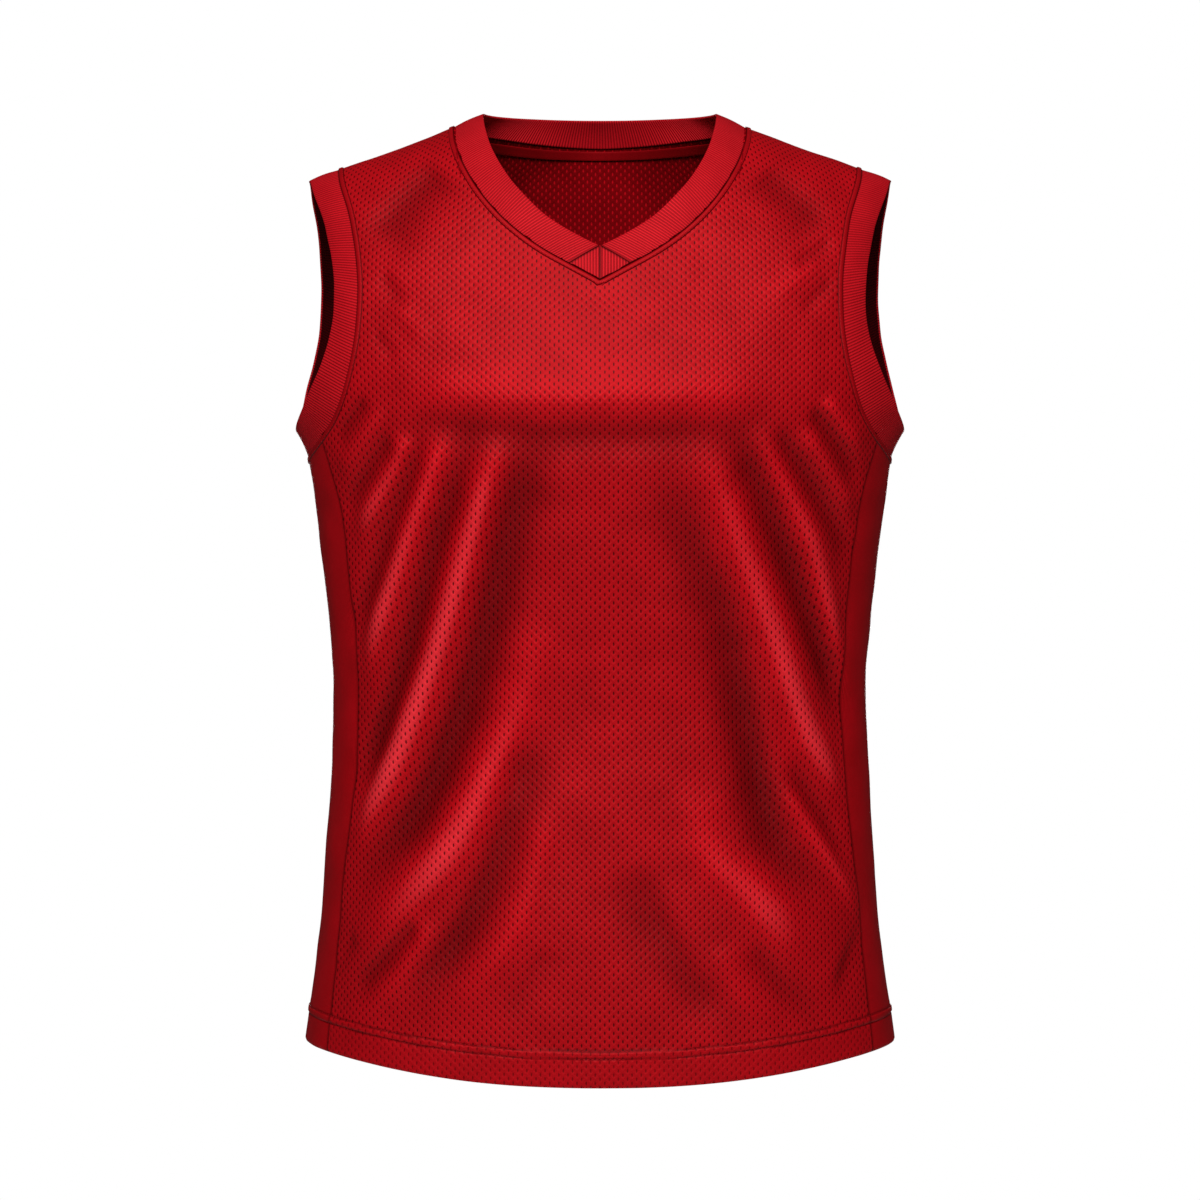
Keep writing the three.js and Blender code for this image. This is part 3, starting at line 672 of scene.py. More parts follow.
# Painted highlight: from this crest height in mm, a crest's colour is mixed towards this paler red.
CREST_START = 1.5
CREST_HIGHLIGHT_RED = "#CC2A32"
RIB_PITCH = 2.1
JERSEY_PITCH = 1.3  # the wales of the plain knit; finer in life, drawn as fine as the view can show
CLOUDS_PER_MM = 0.03  # a dye is a little uneven over a few centimetres
FLECKS_PER_MM = 0.9
PER_METRE = 1000
SMOOTH = {"interpolation_type": "SMOOTHSTEP"}


def cloth_coordinates(tree):
    """The piece's UV map, in millimetres of cloth."""
    place = add_node(tree, "UVMap", {"uv_map": "cloth"}).outputs[0]
    to_mm = {"operation": "SCALE", "Scale": PER_METRE}
    return add_node(tree, "VectorMath", to_mm, {0: place}).outputs[0]


def distance_to_lattice(tree, place, shift, oval):
    """Millimetres to the nearest eyelet of one lattice, with heights counted at a share."""
    for operation, settings in (
        ("DIVIDE", {1: (EYELET_ACROSS, EYELET_UP, 1)}),
        ("ADD", {1: (shift, shift, 0)}),
        ("FRACTION", {}),
        ("SUBTRACT", {1: (0.5, 0.5, 0)}),
        ("MULTIPLY", {1: (EYELET_ACROSS, EYELET_UP * oval, 0)}),
        ("LENGTH", {}),
    ):
        step = add_node(tree, "VectorMath", {"operation": operation, **settings}, {0: place})
        place = step.outputs["Value" if operation == "LENGTH" else "Vector"]
    return place


def nearest_eyelet(tree, place, oval):
    """Both lattices together, the second halfway between the first."""
    first, second = (distance_to_lattice(tree, place, shift, oval) for shift in (0.0, 0.5))
    return add_node(tree, "Math", {"operation": "MINIMUM"}, {0: first, 1: second}).outputs[0]


print("eyelets per square centimetre:", round(200 / EYELET_ACROSS / EYELET_UP, 1))


# %% Shared shading of dyed polyester
def yarn_colour(tree, place, base, deep):
    """Two close reds, mixed by a cloudy pattern in the dye and by the yarn's own unevenness."""
    clouds = {"Scale": CLOUDS_PER_MM, "Detail": 3.0}
    cloud = add_node(tree, "TexNoise", clouds, {"Vector": place}).outputs[0]
    flecks = {"Scale": FLECKS_PER_MM, "Detail": 2.0}
    fleck = add_node(tree, "TexNoise", flecks, {"Vector": place}).outputs[0]
    both = add_node(tree, "Math", {"operation": "ADD"}, {0: cloud, 1: fleck}).outputs[0]
    middle = {"From Min": 0.75, "From Max": 1.25}
    share = add_node(tree, "MapRange", middle, {"Value": both}).outputs[0]
    reds = {"data_type": "RGBA", 6: linear(deep), 7: linear(base)}
    return add_node(tree, "Mix", reds, {0: share}).outputs[2]


def painted_crest_highlight(tree, colour):
    """Painted highlight: where the cloth stands out in a crest, its colour is mixed towards a paler
    red.
    """
    height = add_node(tree, "Attribute", {"attribute_name": "crease"}).outputs["Fac"]
    crest = {**SMOOTH, "From Min": CREST_START, "From Max": CREASE_SPAN}
    share = add_node(tree, "MapRange", crest, {"Value": height}).outputs[0]
    pale = {"data_type": "RGBA", 7: linear(CREST_HIGHLIGHT_RED)}
    return add_node(tree, "Mix", pale, {0: share, 6: colour}).outputs[2]


def painted_light_and_shade(tree):
    """Painted shade in a crease's hollow and a seam's groove, painted light on a crease's crest."""
    height = add_node(tree, "Attribute", {"attribute_name": "crease"}).outputs["Fac"]
    crease = {**SMOOTH, "From Min": -CREASE_SPAN, "From Max": CREASE_SPAN}
    crease |= {"To Min": HOLLOW_PAINTED_SHADE, "To Max": CREST_PAINTED_LIGHT}
    hollow = add_node(tree, "MapRange", crease, {"Value": height}).outputs[0]
    away = add_node(tree, "Attribute", {"attribute_name": "open_cloth"}).outputs["Fac"]
    groove = add_node(tree, "MapRange", {"To Min": GROOVE_PAINTED_SHADE}, {"Value": away}).outputs[0]
    return add_node(tree, "Math", {"operation": "MULTIPLY"}, {0: hollow, 1: groove}).outputs[0]


def cloth_material(name, roughness, shine, surface_shine=0.12):
    """shine comes back in the colour of the dye, surface_shine in the colour of the light."""
    material = bpy.data.materials.new(name)
    material.use_nodes = True
    shader = material.node_tree.nodes["Principled BSDF"]
    shader.inputs["Roughness"].default_value = roughness
    shader.inputs["Metallic"].default_value = shine
    shader.inputs["Specular IOR Level"].default_value = surface_shine
    shader.inputs["Specular Tint"].default_value = linear("#FFB4B4")
    return material


def knit_surface(material, colour, shade, height, relief):
    """Scales the colour by the knit's and the place's painted light and shade, and raises the knit by
    some mm.
    """
    tree = material.node_tree
    shader = tree.nodes["Principled BSDF"]
    shades = {0: shade, 1: painted_light_and_shade(tree)}
    both = add_node(tree, "Math", {"operation": "MULTIPLY"}, shades).outputs[0]
    darker = add_node(tree, "VectorMath", {"operation": "SCALE"}, {0: colour, "Scale": both})
    tree.links.new(darker.outputs[0], shader.inputs["Base Color"])
    depth = {"Strength": 1.0, "Distance": relief * MM}
    raised = add_node(tree, "Bump", depth, {"Height": height})
    tree.links.new(raised.outputs[0], shader.inputs["Normal"])
    return material


# %% Eyelet mesh: warp-knitted polyester with a hole at every lattice point
MESH_ROUGHNESS = 0.55
MESH_SHINE = 0.14
MESH_RELIEF = 0.3


def eyelet_mesh(name, red, deep_red, hole_shade, shine, surface_shine):
    """hole_shade: how bright a hole is beside the cloth, from the light on the other side."""
    material = cloth_material(name, MESH_ROUGHNESS, shine, surface_shine)
    tree = material.node_tree
    place = cloth_coordinates(tree)
    # Each hole is painted: dark on the outer face for the unlit inside, light on the reverse for the
    # light it lets in.
    rim = {**SMOOTH, "From Min": EYELET_HALF_WIDTH}
    rim["From Max"] = EYELET_HALF_WIDTH + EYELET_SOFTNESS
    away = nearest_eyelet(tree, place, EYELET_OVAL)
    hole = add_node(tree, "MapRange", rim, {"Value": away}).outputs[0]
    hem = add_node(tree, "Attribute", {"attribute_name": "hem"}).outputs["Fac"]
    plies = {"To Min": hole_shade, "To Max": HEM_HOLE_SHADE}
    in_hole = add_node(tree, "MapRange", plies, {"Value": hem}).outputs[0]
    shades = {"Value": hole, "To Min": in_hole}
    shade = add_node(tree, "MapRange", {"To Max": 1.0}, shades).outputs[0]
    away = nearest_eyelet(tree, place, 1.0)
    mound = {**SMOOTH, "From Max": RIDGE_REACH}
    height = add_node(tree, "MapRange", mound, {"Value": away}).outputs[0]
    colour = painted_crest_highlight(tree, yarn_colour(tree, place, red, deep_red))
    return knit_surface(material, colour, shade, height, MESH_RELIEF)


# %% Plain knit and rib: fine wales one way, deep ribs the other
def waled_knit(name, base, deep, pitch, depth, roughness, shine):
    material = cloth_material(name, roughness, shine)
    tree = material.node_tree
    place = cloth_coordinates(tree)
    across = add_node(tree, "SeparateXYZ", links={0: place}).outputs[0]
    turns = {"operation": "MULTIPLY", 1: 2 * math.pi / pitch}
    phase = add_node(tree, "Math", turns, {0: across}).outputs[0]
    wave = add_node(tree, "Math", {"operation": "SINE"}, {0: phase}).outputs[0]
    broad = {**SMOOTH, "From Min": -1.0, "From Max": 0.6}
    height = add_node(tree, "MapRange", broad, {"Value": wave}).outputs[0]
    # Painted shade: the colour darkens towards the valleys between the ribs of a rib knit and the
    # wales of a plain knit.
    between = {"From Max": 0.7, "To Min": 0.55, "To Max": 1.0}
    shade = add_node(tree, "MapRange", between, {"Value": height}).outputs[0]
    return knit_surface(material, yarn_colour(tree, place, base, deep), shade, height, depth)


# %% Sewing thread: twisted polyester, a little darker than the cloth
def thread_material():
    material = cloth_material("twisted_polyester_thread", 0.45, 0.1)
    tree = material.node_tree
    place = add_node(tree, "TexCoord").outputs["Object"]
    twist = add_node(tree, "TexNoise", {"Scale": 900.0}, {"Vector": place}).outputs[0]
    reds = {"data_type": "RGBA", 6: linear("#8E0710"), 7: linear("#C0121E")}
    blend = add_node(tree, "Mix", reds, {0: twist})
    tree.links.new(blend.outputs[2], tree.nodes["Principled BSDF"].inputs["Base Color"])
    return material


# %% The seven finishes
# Mesh: name, colour, deeper colour, how bright a hole is, and the two kinds of shine. Knit: name,
# colour, deeper colour, pitch and depth in mm, roughness and shine. A reverse face keeps no shine.
MESH_CLOTH, MESH_REVERSE_PAINTED_SHADE = (
    eyelet_mesh(*row)
    for row in (
        ("warp_knit_eyelet_mesh", "#C00A16", "#AC0812", HOLE_SHADE, MESH_SHINE, 0.14),
        # the reverse is a darker red, painted shade for the jersey's unlit inside; its holes are
        # painted light
        ("warp_knit_eyelet_mesh_reverse_painted_shade", "#80060D", "#70040A", LIT_HOLE_SHADE, 0.0, 0.0),
    )
)
PLAIN_CLOTH, SEAM_CLOTH, RIB_CLOTH, RIB_REVERSE_PAINTED_SHADE = (
    waled_knit(*row)
    for row in (
        ("plain_jersey_knit", "#CE0D19", "#BA0B14", JERSEY_PITCH, 0.05, 0.5, 0.15),
        ("overlocked_seam_allowance", "#C00A16", "#AC0812", 0.9, 0.05, 0.5, 0.2),
        ("one_by_one_rib_knit", "#DC1824", "#C8121E", RIB_PITCH, 0.35, 0.55, 0.1),
        # the rib's reverse is a much darker red, painted shade for the unlit inside of the ribs
        ("one_by_one_rib_knit_reverse_painted_shade", "#5C060C", "#4C040A", RIB_PITCH, 0.35, 0.7, 0.0),
    )
)
THREAD = thread_material()
FINISHES = (MESH_CLOTH, MESH_REVERSE_PAINTED_SHADE, PLAIN_CLOTH, SEAM_CLOTH, RIB_CLOTH, RIB_REVERSE_PAINTED_SHADE, THREAD)
print("finishes:", [finish.name for finish in FINISHES])

# %% [markdown]
# ## From a grid to a piece of cloth
# Each piece starts as a flat grid primitive with one vertex for each place. The vertices are moved
# to the form, a Solidify modifier gives the cloth its thickness inwards, and a Bevel rounds its raw
# edges, which also draws the fine groove of a seam where two pieces meet. Both modifiers are
# applied.


# %% The cloth maker
PLIES = (0.5, 0.75, 1.0)  # the wall's thickness as a share: one ply, the step between, two plies
EDGE_ANGLE = math.radians(62)  # a bevel rounds only edges that are sharper than this
SMOOTH_ANGLE = math.radians(55)
WELD = 1e-5  # metres, within which the two ends of a ring become one


def cloth_piece(
    name, points, weave, material, wall, ring=False, soft_edge=0.3, fields=None, inside=None
):
    """fields: values for each place, kept as attributes. inside: the finish of the inner face."""
    fields = fields or {}
    rows, columns = points.shape[:2]
    bpy.ops.object.select_all(action="DESELECT")
    bpy.ops.mesh.primitive_grid_add(x_subdivisions=columns - 1, y_subdivisions=rows - 1, size=1)
    piece = bpy.context.object
    piece.name = piece.data.name = name
    mesh = piece.data
    mesh.vertices.foreach_set("co", (points.reshape(-1, 3) * MM).ravel())
    corners = np.empty(len(mesh.loops), dtype=np.int32)
    mesh.loops.foreach_get("vertex_index", corners)
    mesh.uv_layers.active.name = "cloth"
    mesh.uv_layers.active.data.foreach_set("uv", (weave.reshape(-1, 2)[corners] * MM).ravel())
    mesh.update()
    for field, values in fields.items():
        layer = mesh.attributes.new(field, "FLOAT", "POINT")
        layer.data.foreach_set("value", np.ascontiguousarray(values.ravel(), dtype=np.float32))
    if ring:
        bpy.ops.object.mode_set(mode="EDIT")
        bpy.ops.mesh.select_all(action="SELECT")
        bpy.ops.mesh.remove_doubles(threshold=WELD)
        bpy.ops.object.mode_set(mode="OBJECT")
    for finish in (material, inside):
        if finish:
            mesh.materials.append(finish)
    shell = piece.modifiers.new("wall", "SOLIDIFY")
    shell.thickness = wall * MM
    shell.offset = -1
    shell.use_rim = True
    shell.material_offset = 1 if inside else 0
    if "hem" in fields:
        plies = np.round(fields["hem"].ravel() * 2) / 4 + PLIES[0]
        group = piece.vertex_groups.new(name="plies")
        for weight in PLIES:
            chosen = np.flatnonzero(np.isclose(plies, weight))
            group.add([int(i) for i in chosen], weight, "REPLACE")
        shell.vertex_group = "plies"
    bpy.ops.object.modifier_apply(modifier=shell.name)
    if soft_edge:
        rounding = piece.modifiers.new("edges", "BEVEL")
        rounding.width = soft_edge * MM
        rounding.segments = 2
        rounding.limit_method = "ANGLE"
        rounding.angle_limit = EDGE_ANGLE
        bpy.ops.object.modifier_apply(modifier=rounding.name)
    bpy.ops.object.shade_smooth_by_angle(angle=SMOOTH_ANGLE)
    mesh.calc_loop_triangles()
    print(name, len(mesh.loop_triangles), "triangles")
    return piece


# %% [markdown]
# ## Front and back
# A front and a back are cut much alike: hem, side seam, armhole, shoulder, neck. Lines that run
# from the hem to the top edge and lines that run across to the side meet in a grid that fills this
# outline exactly. Near the hem the rows are closer, so that its two stitch lines can press dents
# beside a narrow raised ridge.

# %% Rows and columns of a panel
FINE = 7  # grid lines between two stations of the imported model
ROW_LENGTH = 27.8  # mm of cloth between two stations of the side seam
HEM_LINES_END = 30  # mm above the hem's edge, below which the rows are the ones listed next
HEM_LINES = np.array(
    [0.6, 1.4, 3, 8, 13, 18, 19.2, 19.8, 20.3, 21.2, 22.7, 24.2, 25.1, 25.6, 26.2, 27.2, 28.6]
)
EDGE_LINES = np.array([0.025, 0.065])  # stations: two lines close beside a sewn edge
# mm over which a groove's painted shade fades, beside a sewn edge and beside a hem's stitch line
GROOVE_WIDTH = 1.5
GROOVE_FLOOR = 0.2
STITCH_GROOVE = (0.1, 0.9)
SEAM_OVERLAP = 0.12
FAN_START = 0.45  # the share of the height above which the columns lean towards the top edge
PANEL_WALL = 2.0  # where the cloth is double; one ply is half of it


def panel_rows(top):
    even = np.arange(0, top * FINE + 1) / FINE
    even = even[(even == 0) | (even * ROW_LENGTH > HEM_LINES_END)]
    return np.unique(np.concatenate([even, HEM_LINES / ROW_LENGTH]))


HEM_RISE = 0.75  # the ridge, and the mm over which it falls to its stitches
HEM_RISE_SIDE = 1.1
STITCH_DENT = 0.55  # how deep a line of stitches presses, and half how wide
STITCH_DENT_HALF = 0.6
HEM_ROLL = 0.7  # how far the folded edge rolls in, and over how much
HEM_ROLL_WIDTH = 1.6
PLY_LIFT = 0.35  # the second ply lifts the first, and the cloth above it for a little way
PLY_FADE = 4
PLY_STEP = 0.5  # half the distance over which one ply becomes two


def hem_height(from_edge):
    """The ridge between the two stitch lines, and the dents that the stitches press."""
    half = HEM_RIDGE / 2
    away = np.abs(from_edge - HEM_DEPTH + half)
    ridge = HEM_RISE * (1 - smoothstep(away, half - HEM_RISE_SIDE, half))
    dents = STITCH_DENT * np.exp(-(((away - half) / STITCH_DENT_HALF) ** 2))
    rolled = HEM_ROLL * (1 - smoothstep(from_edge, 0, HEM_ROLL_WIDTH))
    lift = PLY_LIFT * (1 - smoothstep(from_edge, HEM_DEPTH, HEM_DEPTH + PLY_FADE))
    return ridge - dents - rolled + lift


def rim_distance(points):
    """Millimetres from each place to the nearest sewn edge, measured along the grid's lines."""
    up = run_lengths(points, 0)
    across = run_lengths(points, 1)
    return np.minimum(np.minimum(across, across[:, -1:] - across), up[-1:] - up)


def open_cloth(points, from_edge):
    """1 on open cloth, 0 in a seam's groove and under the hem's two lines of stitches: the mask of the
    painted groove shade.
    """
    lines = np.minimum(abs(from_edge - HEM_DEPTH), abs(from_edge - HEM_DEPTH + HEM_RIDGE))
    groove = smoothstep(rim_distance(points), GROOVE_FLOOR, GROOVE_WIDTH)
    return groove * smoothstep(lines, *STITCH_GROOVE)


def panel_places(face):
    sign = 1 if face == "front" else -1
    last = NECK_STEPS + SHOULDER_STEPS
    rows = np.append(panel_rows(BODY_ROWS + ARM_ROWS), BODY_ROWS + ARM_ROWS - EDGE_LINES)
    rows.sort()
    half = np.append(np.arange(0, last * FINE + 1) / FINE, last - EDGE_LINES)
    half.sort()
    top_turn, top_level = top_edge_place(half, face)
    edge_turn, edge_level = outer_edge_place(rows, face)
    hem, crown = edge_level[0], edge_level[-1]
    height = ((edge_level - hem) / (crown - hem))[:, None]
    as_top = (90 - top_turn) / (90 - edge_turn[-1])
    share = mix((half / last)[None], as_top[None], smoothstep(height, FAN_START, 1))
    turn = mix(90, edge_turn[:, None], share)
    level = mix(hem_level(sign * turn), top_level[None], height)
    level[:, -1] = edge_level
    level[-1] = top_level
    left, right = sign * turn, sign * (180 - turn[:, :0:-1])
    return np.concatenate([right, left], 1), np.concatenate([level[:, :0:-1], level], 1)


def butted(points):
    """A grid whose edges are moved out by a hair, so that no light shows between sewn edges."""
    moved = points.copy()
    for edge, inner in ((0, 1), (-1, -2)):
        moved[edge] -= unit(points[inner] - points[edge]) * SEAM_OVERLAP
        moved[:, edge] -= unit(points[:, inner] - points[:, edge]) * SEAM_OVERLAP
    return moved


def hemmed_cloth(name, turn, level, weave, flipped, material, inside=None):
    """A panel's cloth with its hem. flipped reverses the columns, so that the faces point out."""
    points, normal = cloth_point(turn, level)
    from_edge = level - hem_level(turn)
    points = points + normal * hem_height(from_edge)[..., None]
    fields = {
        "hem": 1 - smoothstep(from_edge, HEM_DEPTH - PLY_STEP, HEM_DEPTH + PLY_STEP),
        "crease": fold_height(turn, level),
        "open_cloth": open_cloth(points, from_edge),
    }
    if flipped:
        points, weave = points[:, ::-1], weave[:, ::-1]
        fields = {field: values[:, ::-1] for field, values in fields.items()}
    points = butted(points)
    return cloth_piece(name, points, weave, material, PANEL_WALL, fields=fields, inside=inside)


def panel(name, face):
    turn, level = panel_places(face)
    is_back = face == "back"
    return hemmed_cloth(name, turn, level, grain(turn, level), is_back, MESH_CLOTH, MESH_REVERSE_PAINTED_SHADE)


front = panel("front_mesh_panel", "front")
back = panel("back_mesh_panel", "back")


# %% Side panels: plain knit strips under the arms
SIDE_HALF_WIDTH = 57
SIDE_TURN_IN = 0.8  # the share of the height above which the columns bend to the armhole's
SIDE_SHARES = np.concatenate([[0, 0.008, 0.022], np.linspace(0.04, 0.96, 51), [0.978, 0.992, 1]])


def side_panel(name, is_left):
    share = SIDE_SHARES[None]
    height = (panel_rows(BODY_ROWS) / BODY_ROWS)[:, None]
    front_turn, back_turn = (side_seam_place(height, face)[0] for face in ("front", "back"))
    front_top, back_top = (side_seam_place(np.array(1.0), face)[0] for face in ("front", "back"))
    top_turn, top_level = armhole_place(mix(SIDE_JOIN, 360 - SIDE_JOIN, share), "seam")
    shift = top_turn - mix(front_top, back_top, share)
    turn = mix(front_turn, back_turn, share) + shift * smoothstep(height, SIDE_TURN_IN, 1)
    level = mix(hem_level(turn), top_level, height)
    places = turn if is_left else 180 - turn
    weave = grain(places, level)
    weave[..., 0] = mix(-1, 1, share) * SIDE_HALF_WIDTH
    return hemmed_cloth(name, places, level, weave, not is_left, PLAIN_CLOTH)


side_left = side_panel("side_knit_panel_left", True)
side_right = side_panel("side_knit_panel_right", False)

# %% [markdown]
# ## Ribs
# The neck and the armholes end in a rib knit, cut across its ribs, folded double and sewn to the
# edge. Its free edge is a fold, so it is rounder than a cut edge. A rib is a strip of places
# between the seam and the free edge. The strip is a little fuller in the middle, where the two
# plies stand apart.

# %% Strips between two lines
RIB_WALL = 2.0
RIB_FULLNESS = 0.7
ARMHOLE_RIB_WIDTH = 22
COLLAR_WIDTH = 24
RIB_SHARES = np.array([-0.02, 0.01, 0.04, 0.08, 0.2, 0.35, 0.5, 0.65, 0.8, 0.91, 1.0])
RIB_MIDDLE = 6
RIB_SINK = 0.2  # mm under the panel's face, where a rib is sewn to it
RIB_EDGE = 0.8
RIB_GROOVE_FLOOR = 0.4


def facing(points, guide):
    """Normals of a grid of points, turned to the same side as a guide."""
    along = np.gradient(points, axis=1)
    across = np.gradient(points, axis=0)
    normal = unit(np.cross(along, across))
    return normal * np.where(np.sum(normal * guide, -1, keepdims=True) < 0, -1, 1)


def oriented(points, weave, guide):
    """The grid's columns, reversed where its faces would point inwards."""
    normal = np.cross(points[0, 1] - points[0, 0], points[1, 0] - points[0, 0])
    if normal @ guide < 0:
        return points[:, ::-1], weave[:, ::-1]
    return points, weave


def strip_weave(middle, across):
    """Along the strip's middle line, and across it at the given widths."""
    across = np.asarray(across)[:, None]
    return np.stack(np.broadcast_arrays(run_lengths(middle, 0)[None], across), -1)


def strip_fields(points, has_ends):
    """The painted shade of the groove along a strip's seam, and at its ends where those are sewn too.
    """
    distance = run_lengths(points, 0)
    if has_ends:
        across = run_lengths(points, 1)
        distance = np.minimum(distance, np.minimum(across, across[:, -1:] - across))
    return {"open_cloth": smoothstep(distance, RIB_GROOVE_FLOOR, GROOVE_WIDTH)}


# %% Armhole ribs
ARMHOLE_ROUND = np.linspace(0, 360, 289)
FLARE_START = 0.2  # how far under the arm the rib's free edge starts to stand out


def armhole_rib(name, is_left):
    share = RIB_SHARES[:, None]
    seam_turn, seam_level = armhole_place(ARMHOLE_ROUND, "seam")
    edge_turn, edge_level = armhole_place(ARMHOLE_ROUND, "edge")
    start = shoulder_line(x_at(seam_turn, seam_level)) - seam_level
    end = shoulder_line(x_at(edge_turn, edge_level)) - edge_level
    turn = mix(seam_turn, edge_turn, share)
    level = shoulder_line(x_at(turn, edge_level)) - mix(start, end, share)
    points, normal = cloth_point(turn if is_left else 180 - turn, level)
    points = points + normal * (RIB_FULLNESS * np.sin(np.pi * share) - RIB_SINK)[..., None]
    under = smoothstep(-np.cos(np.radians(ARMHOLE_ROUND)), FLARE_START, 1)
    points[..., 0] += ARMHOLE_FLARE * share**2 * under * (1 if is_left else -1)
    points[:, -1] = points[:, 0]
    weave = strip_weave(points[RIB_MIDDLE], ARMHOLE_RIB_WIDTH * RIB_SHARES)
    points, weave = oriented(points, weave, normal[0, 0])
    fields = strip_fields(points, False)
    looks = {"soft_edge": RIB_EDGE, "fields": fields, "inside": RIB_REVERSE_PAINTED_SHADE}
    return cloth_piece(name, points, weave, RIB_CLOTH, RIB_WALL, True, **looks)


armhole_left = armhole_rib("armhole_rib_knit_left", True)
armhole_right = armhole_rib("armhole_rib_knit_right", False)


# %% The neck seam and the collar's free edge, on one side
def side_turn(turn, is_left):
    return turn if is_left else 180 - turn


def collar_seam(face, column, is_left):
    turn, level = neck_seam_place(column, face)
    return cloth_point(side_turn(turn if face == "front" else -turn, is_left), level)


def collar_edge(face, column, is_left):
    if face == "front":
        x = smooth_at(FRONT_NECK, "step", "edge_x", column)
        level = smooth_at(FRONT_NECK, "step", "edge_z", column)
        rise = np.maximum(level - shoulder_line(x), 0)
        points, _ = cloth_point(side_turn(turn_at(x, level), is_left), level - rise)
        points[..., 2] = level
        return points
    angle = np.radians((1 - column / NECK_STEPS) * 90)
    x = COLLAR_EDGE_HALF * np.cos(angle) * (1 if is_left else -1)
    z = mix(COLLAR_RISE_SIDE, COLLAR_RISE_BACK, np.sin(angle))
    return np.stack([x, COLLAR_EDGE_BACK * np.sin(angle), z], -1)


FRONT_COLUMNS = np.linspace(1, NECK_STEPS, 89)
BACK_COLUMNS = np.linspace(NECK_STEPS, 0, 67)[1:]
EDGE_ROUNDING = 4.5  # mm over which the folded edge rounds its corner at the shoulder seam


def rounded_corner(points, corner):
    """A line of points whose corner is averaged with its neighbours, as a soft fold rounds it."""
    along = run_lengths(points, 0)
    near = np.exp(-0.5 * ((along[:, None] - along) / EDGE_ROUNDING) ** 2) * np.gradient(along)
    even = near @ points / near.sum(1, keepdims=True)
    share = np.exp(-0.5 * ((along - along[corner]) / EDGE_ROUNDING / 2) ** 2)
    return mix(points, even, share[:, None])


def neck_line(of, is_left):
    """From the mitre up one side of the neck to the centre back."""
    front_part = of("front", FRONT_COLUMNS, is_left)
    back_part = of("back", BACK_COLUMNS, is_left)
    if of is collar_seam:
        return tuple(np.concatenate(pair) for pair in zip(front_part, back_part))
    return rounded_corner(np.concatenate([front_part, back_part]), len(FRONT_COLUMNS))


# %% Collar
def rib_strip(name, seam, seam_normal, edge, reach=1.0, ribs_upright=False):
    share = reach * RIB_SHARES[:, None, None]
    points = mix(seam[None], edge[None], share)
    normal = facing(points, seam_normal[None])
    swell = RIB_FULLNESS * np.sin(np.pi * RIB_SHARES)[:, None, None]
    points = points + normal * (swell - RIB_SINK)
    weave = strip_weave(points[RIB_MIDDLE], COLLAR_WIDTH * RIB_SHARES)
    if ribs_upright:
        weave[..., 0] = points[..., 0]
    points, weave = oriented(points, weave, seam_normal[0])
    fields = strip_fields(points, True)
    return cloth_piece(name, points, weave, RIB_CLOTH, RIB_WALL, soft_edge=RIB_EDGE, fields=fields)


right_seam, right_normal = neck_line(collar_seam, False)
left_seam, left_normal = neck_line(collar_seam, True)
seam = np.concatenate([right_seam, left_seam[-2::-1]])
seam_normal = np.concatenate([right_normal, left_normal[-2::-1]])
edge = np.concatenate([neck_line(collar_edge, False), neck_line(collar_edge, True)[-2::-1]])
collar = rib_strip("collar_rib_knit", seam, seam_normal, edge)


# %% The mitred insert at the point of the V
INSERT_COLUMNS = np.linspace(0, 0.99, 25)
MITRE_HALF_GAP = 0.1
MITRE_REACH = 0.97  # a hair short of the tip, so that no face is drawn out to a point


def insert(name, is_left):
    seam, normal = collar_seam("front", INSERT_COLUMNS, is_left)
    tip = collar_edge("front", np.zeros(1), is_left)
    tip[..., 0] += MITRE_HALF_GAP if is_left else -MITRE_HALF_GAP
    edge = np.broadcast_to(tip, seam.shape)
    return rib_strip(name, seam, normal, edge, reach=MITRE_REACH, ribs_upright=True)


insert_left = insert("collar_insert_knit_left", True)
insert_right = insert("collar_insert_knit_right", False)

# %% Neck tape, inside the back
TAPE_TOP = 2.5
TAPE_WIDTH = 6.5
TAPE_DEPTH = 1.7  # from the back's outer face to the tape's
TAPE_WALL = 0.9
TAPE_EDGE = 0.35
# Painted shade: the whole tape's colour is darkened by the groove shade, through its open_cloth field.
TAPE_SHADE = 0.6
TAPE_COLUMNS = np.linspace(0, NECK_STEPS - 0.6, 60)  # it ends a little short of the shoulder seam

tape_turn, tape_level = neck_seam_place(TAPE_COLUMNS, "back")
below = np.linspace(TAPE_TOP, TAPE_TOP + TAPE_WIDTH, 5)[:, None]
tape_turns = np.concatenate([side_turn(-tape_turn, False)[:0:-1], -tape_turn])[None] + 0 * below
tape_levels = np.concatenate([tape_level[:0:-1], tape_level])[None] - below
tape_points, tape_normal = cloth_point(tape_turns, tape_levels)
tape_points = tape_points - tape_normal * TAPE_DEPTH
tape_weave = strip_weave(tape_points[2], below[:, 0])
tape_points, tape_weave = oriented(tape_points, tape_weave, tape_normal[0, 0])
tape_looks = {
    "soft_edge": TAPE_EDGE,
    "fields": {"open_cloth": np.full(tape_points.shape[:2], TAPE_SHADE)},
}
tape = cloth_piece(
    "back_neck_tape_knit", tape_points, tape_weave, SEAM_CLOTH, TAPE_WALL, **tape_looks
)

# %% [markdown]
# ## Raised seams
# Behind the neck and armhole seams the cut edges are pressed away from the rib and topstitched
# down, which lifts the panel in a ridge about 4 mm wide. Each ridge is a narrow strip that follows
# its seam at a set distance. The distance is walked over the form's own tangents, so the ridge
# stays as wide on a curve.

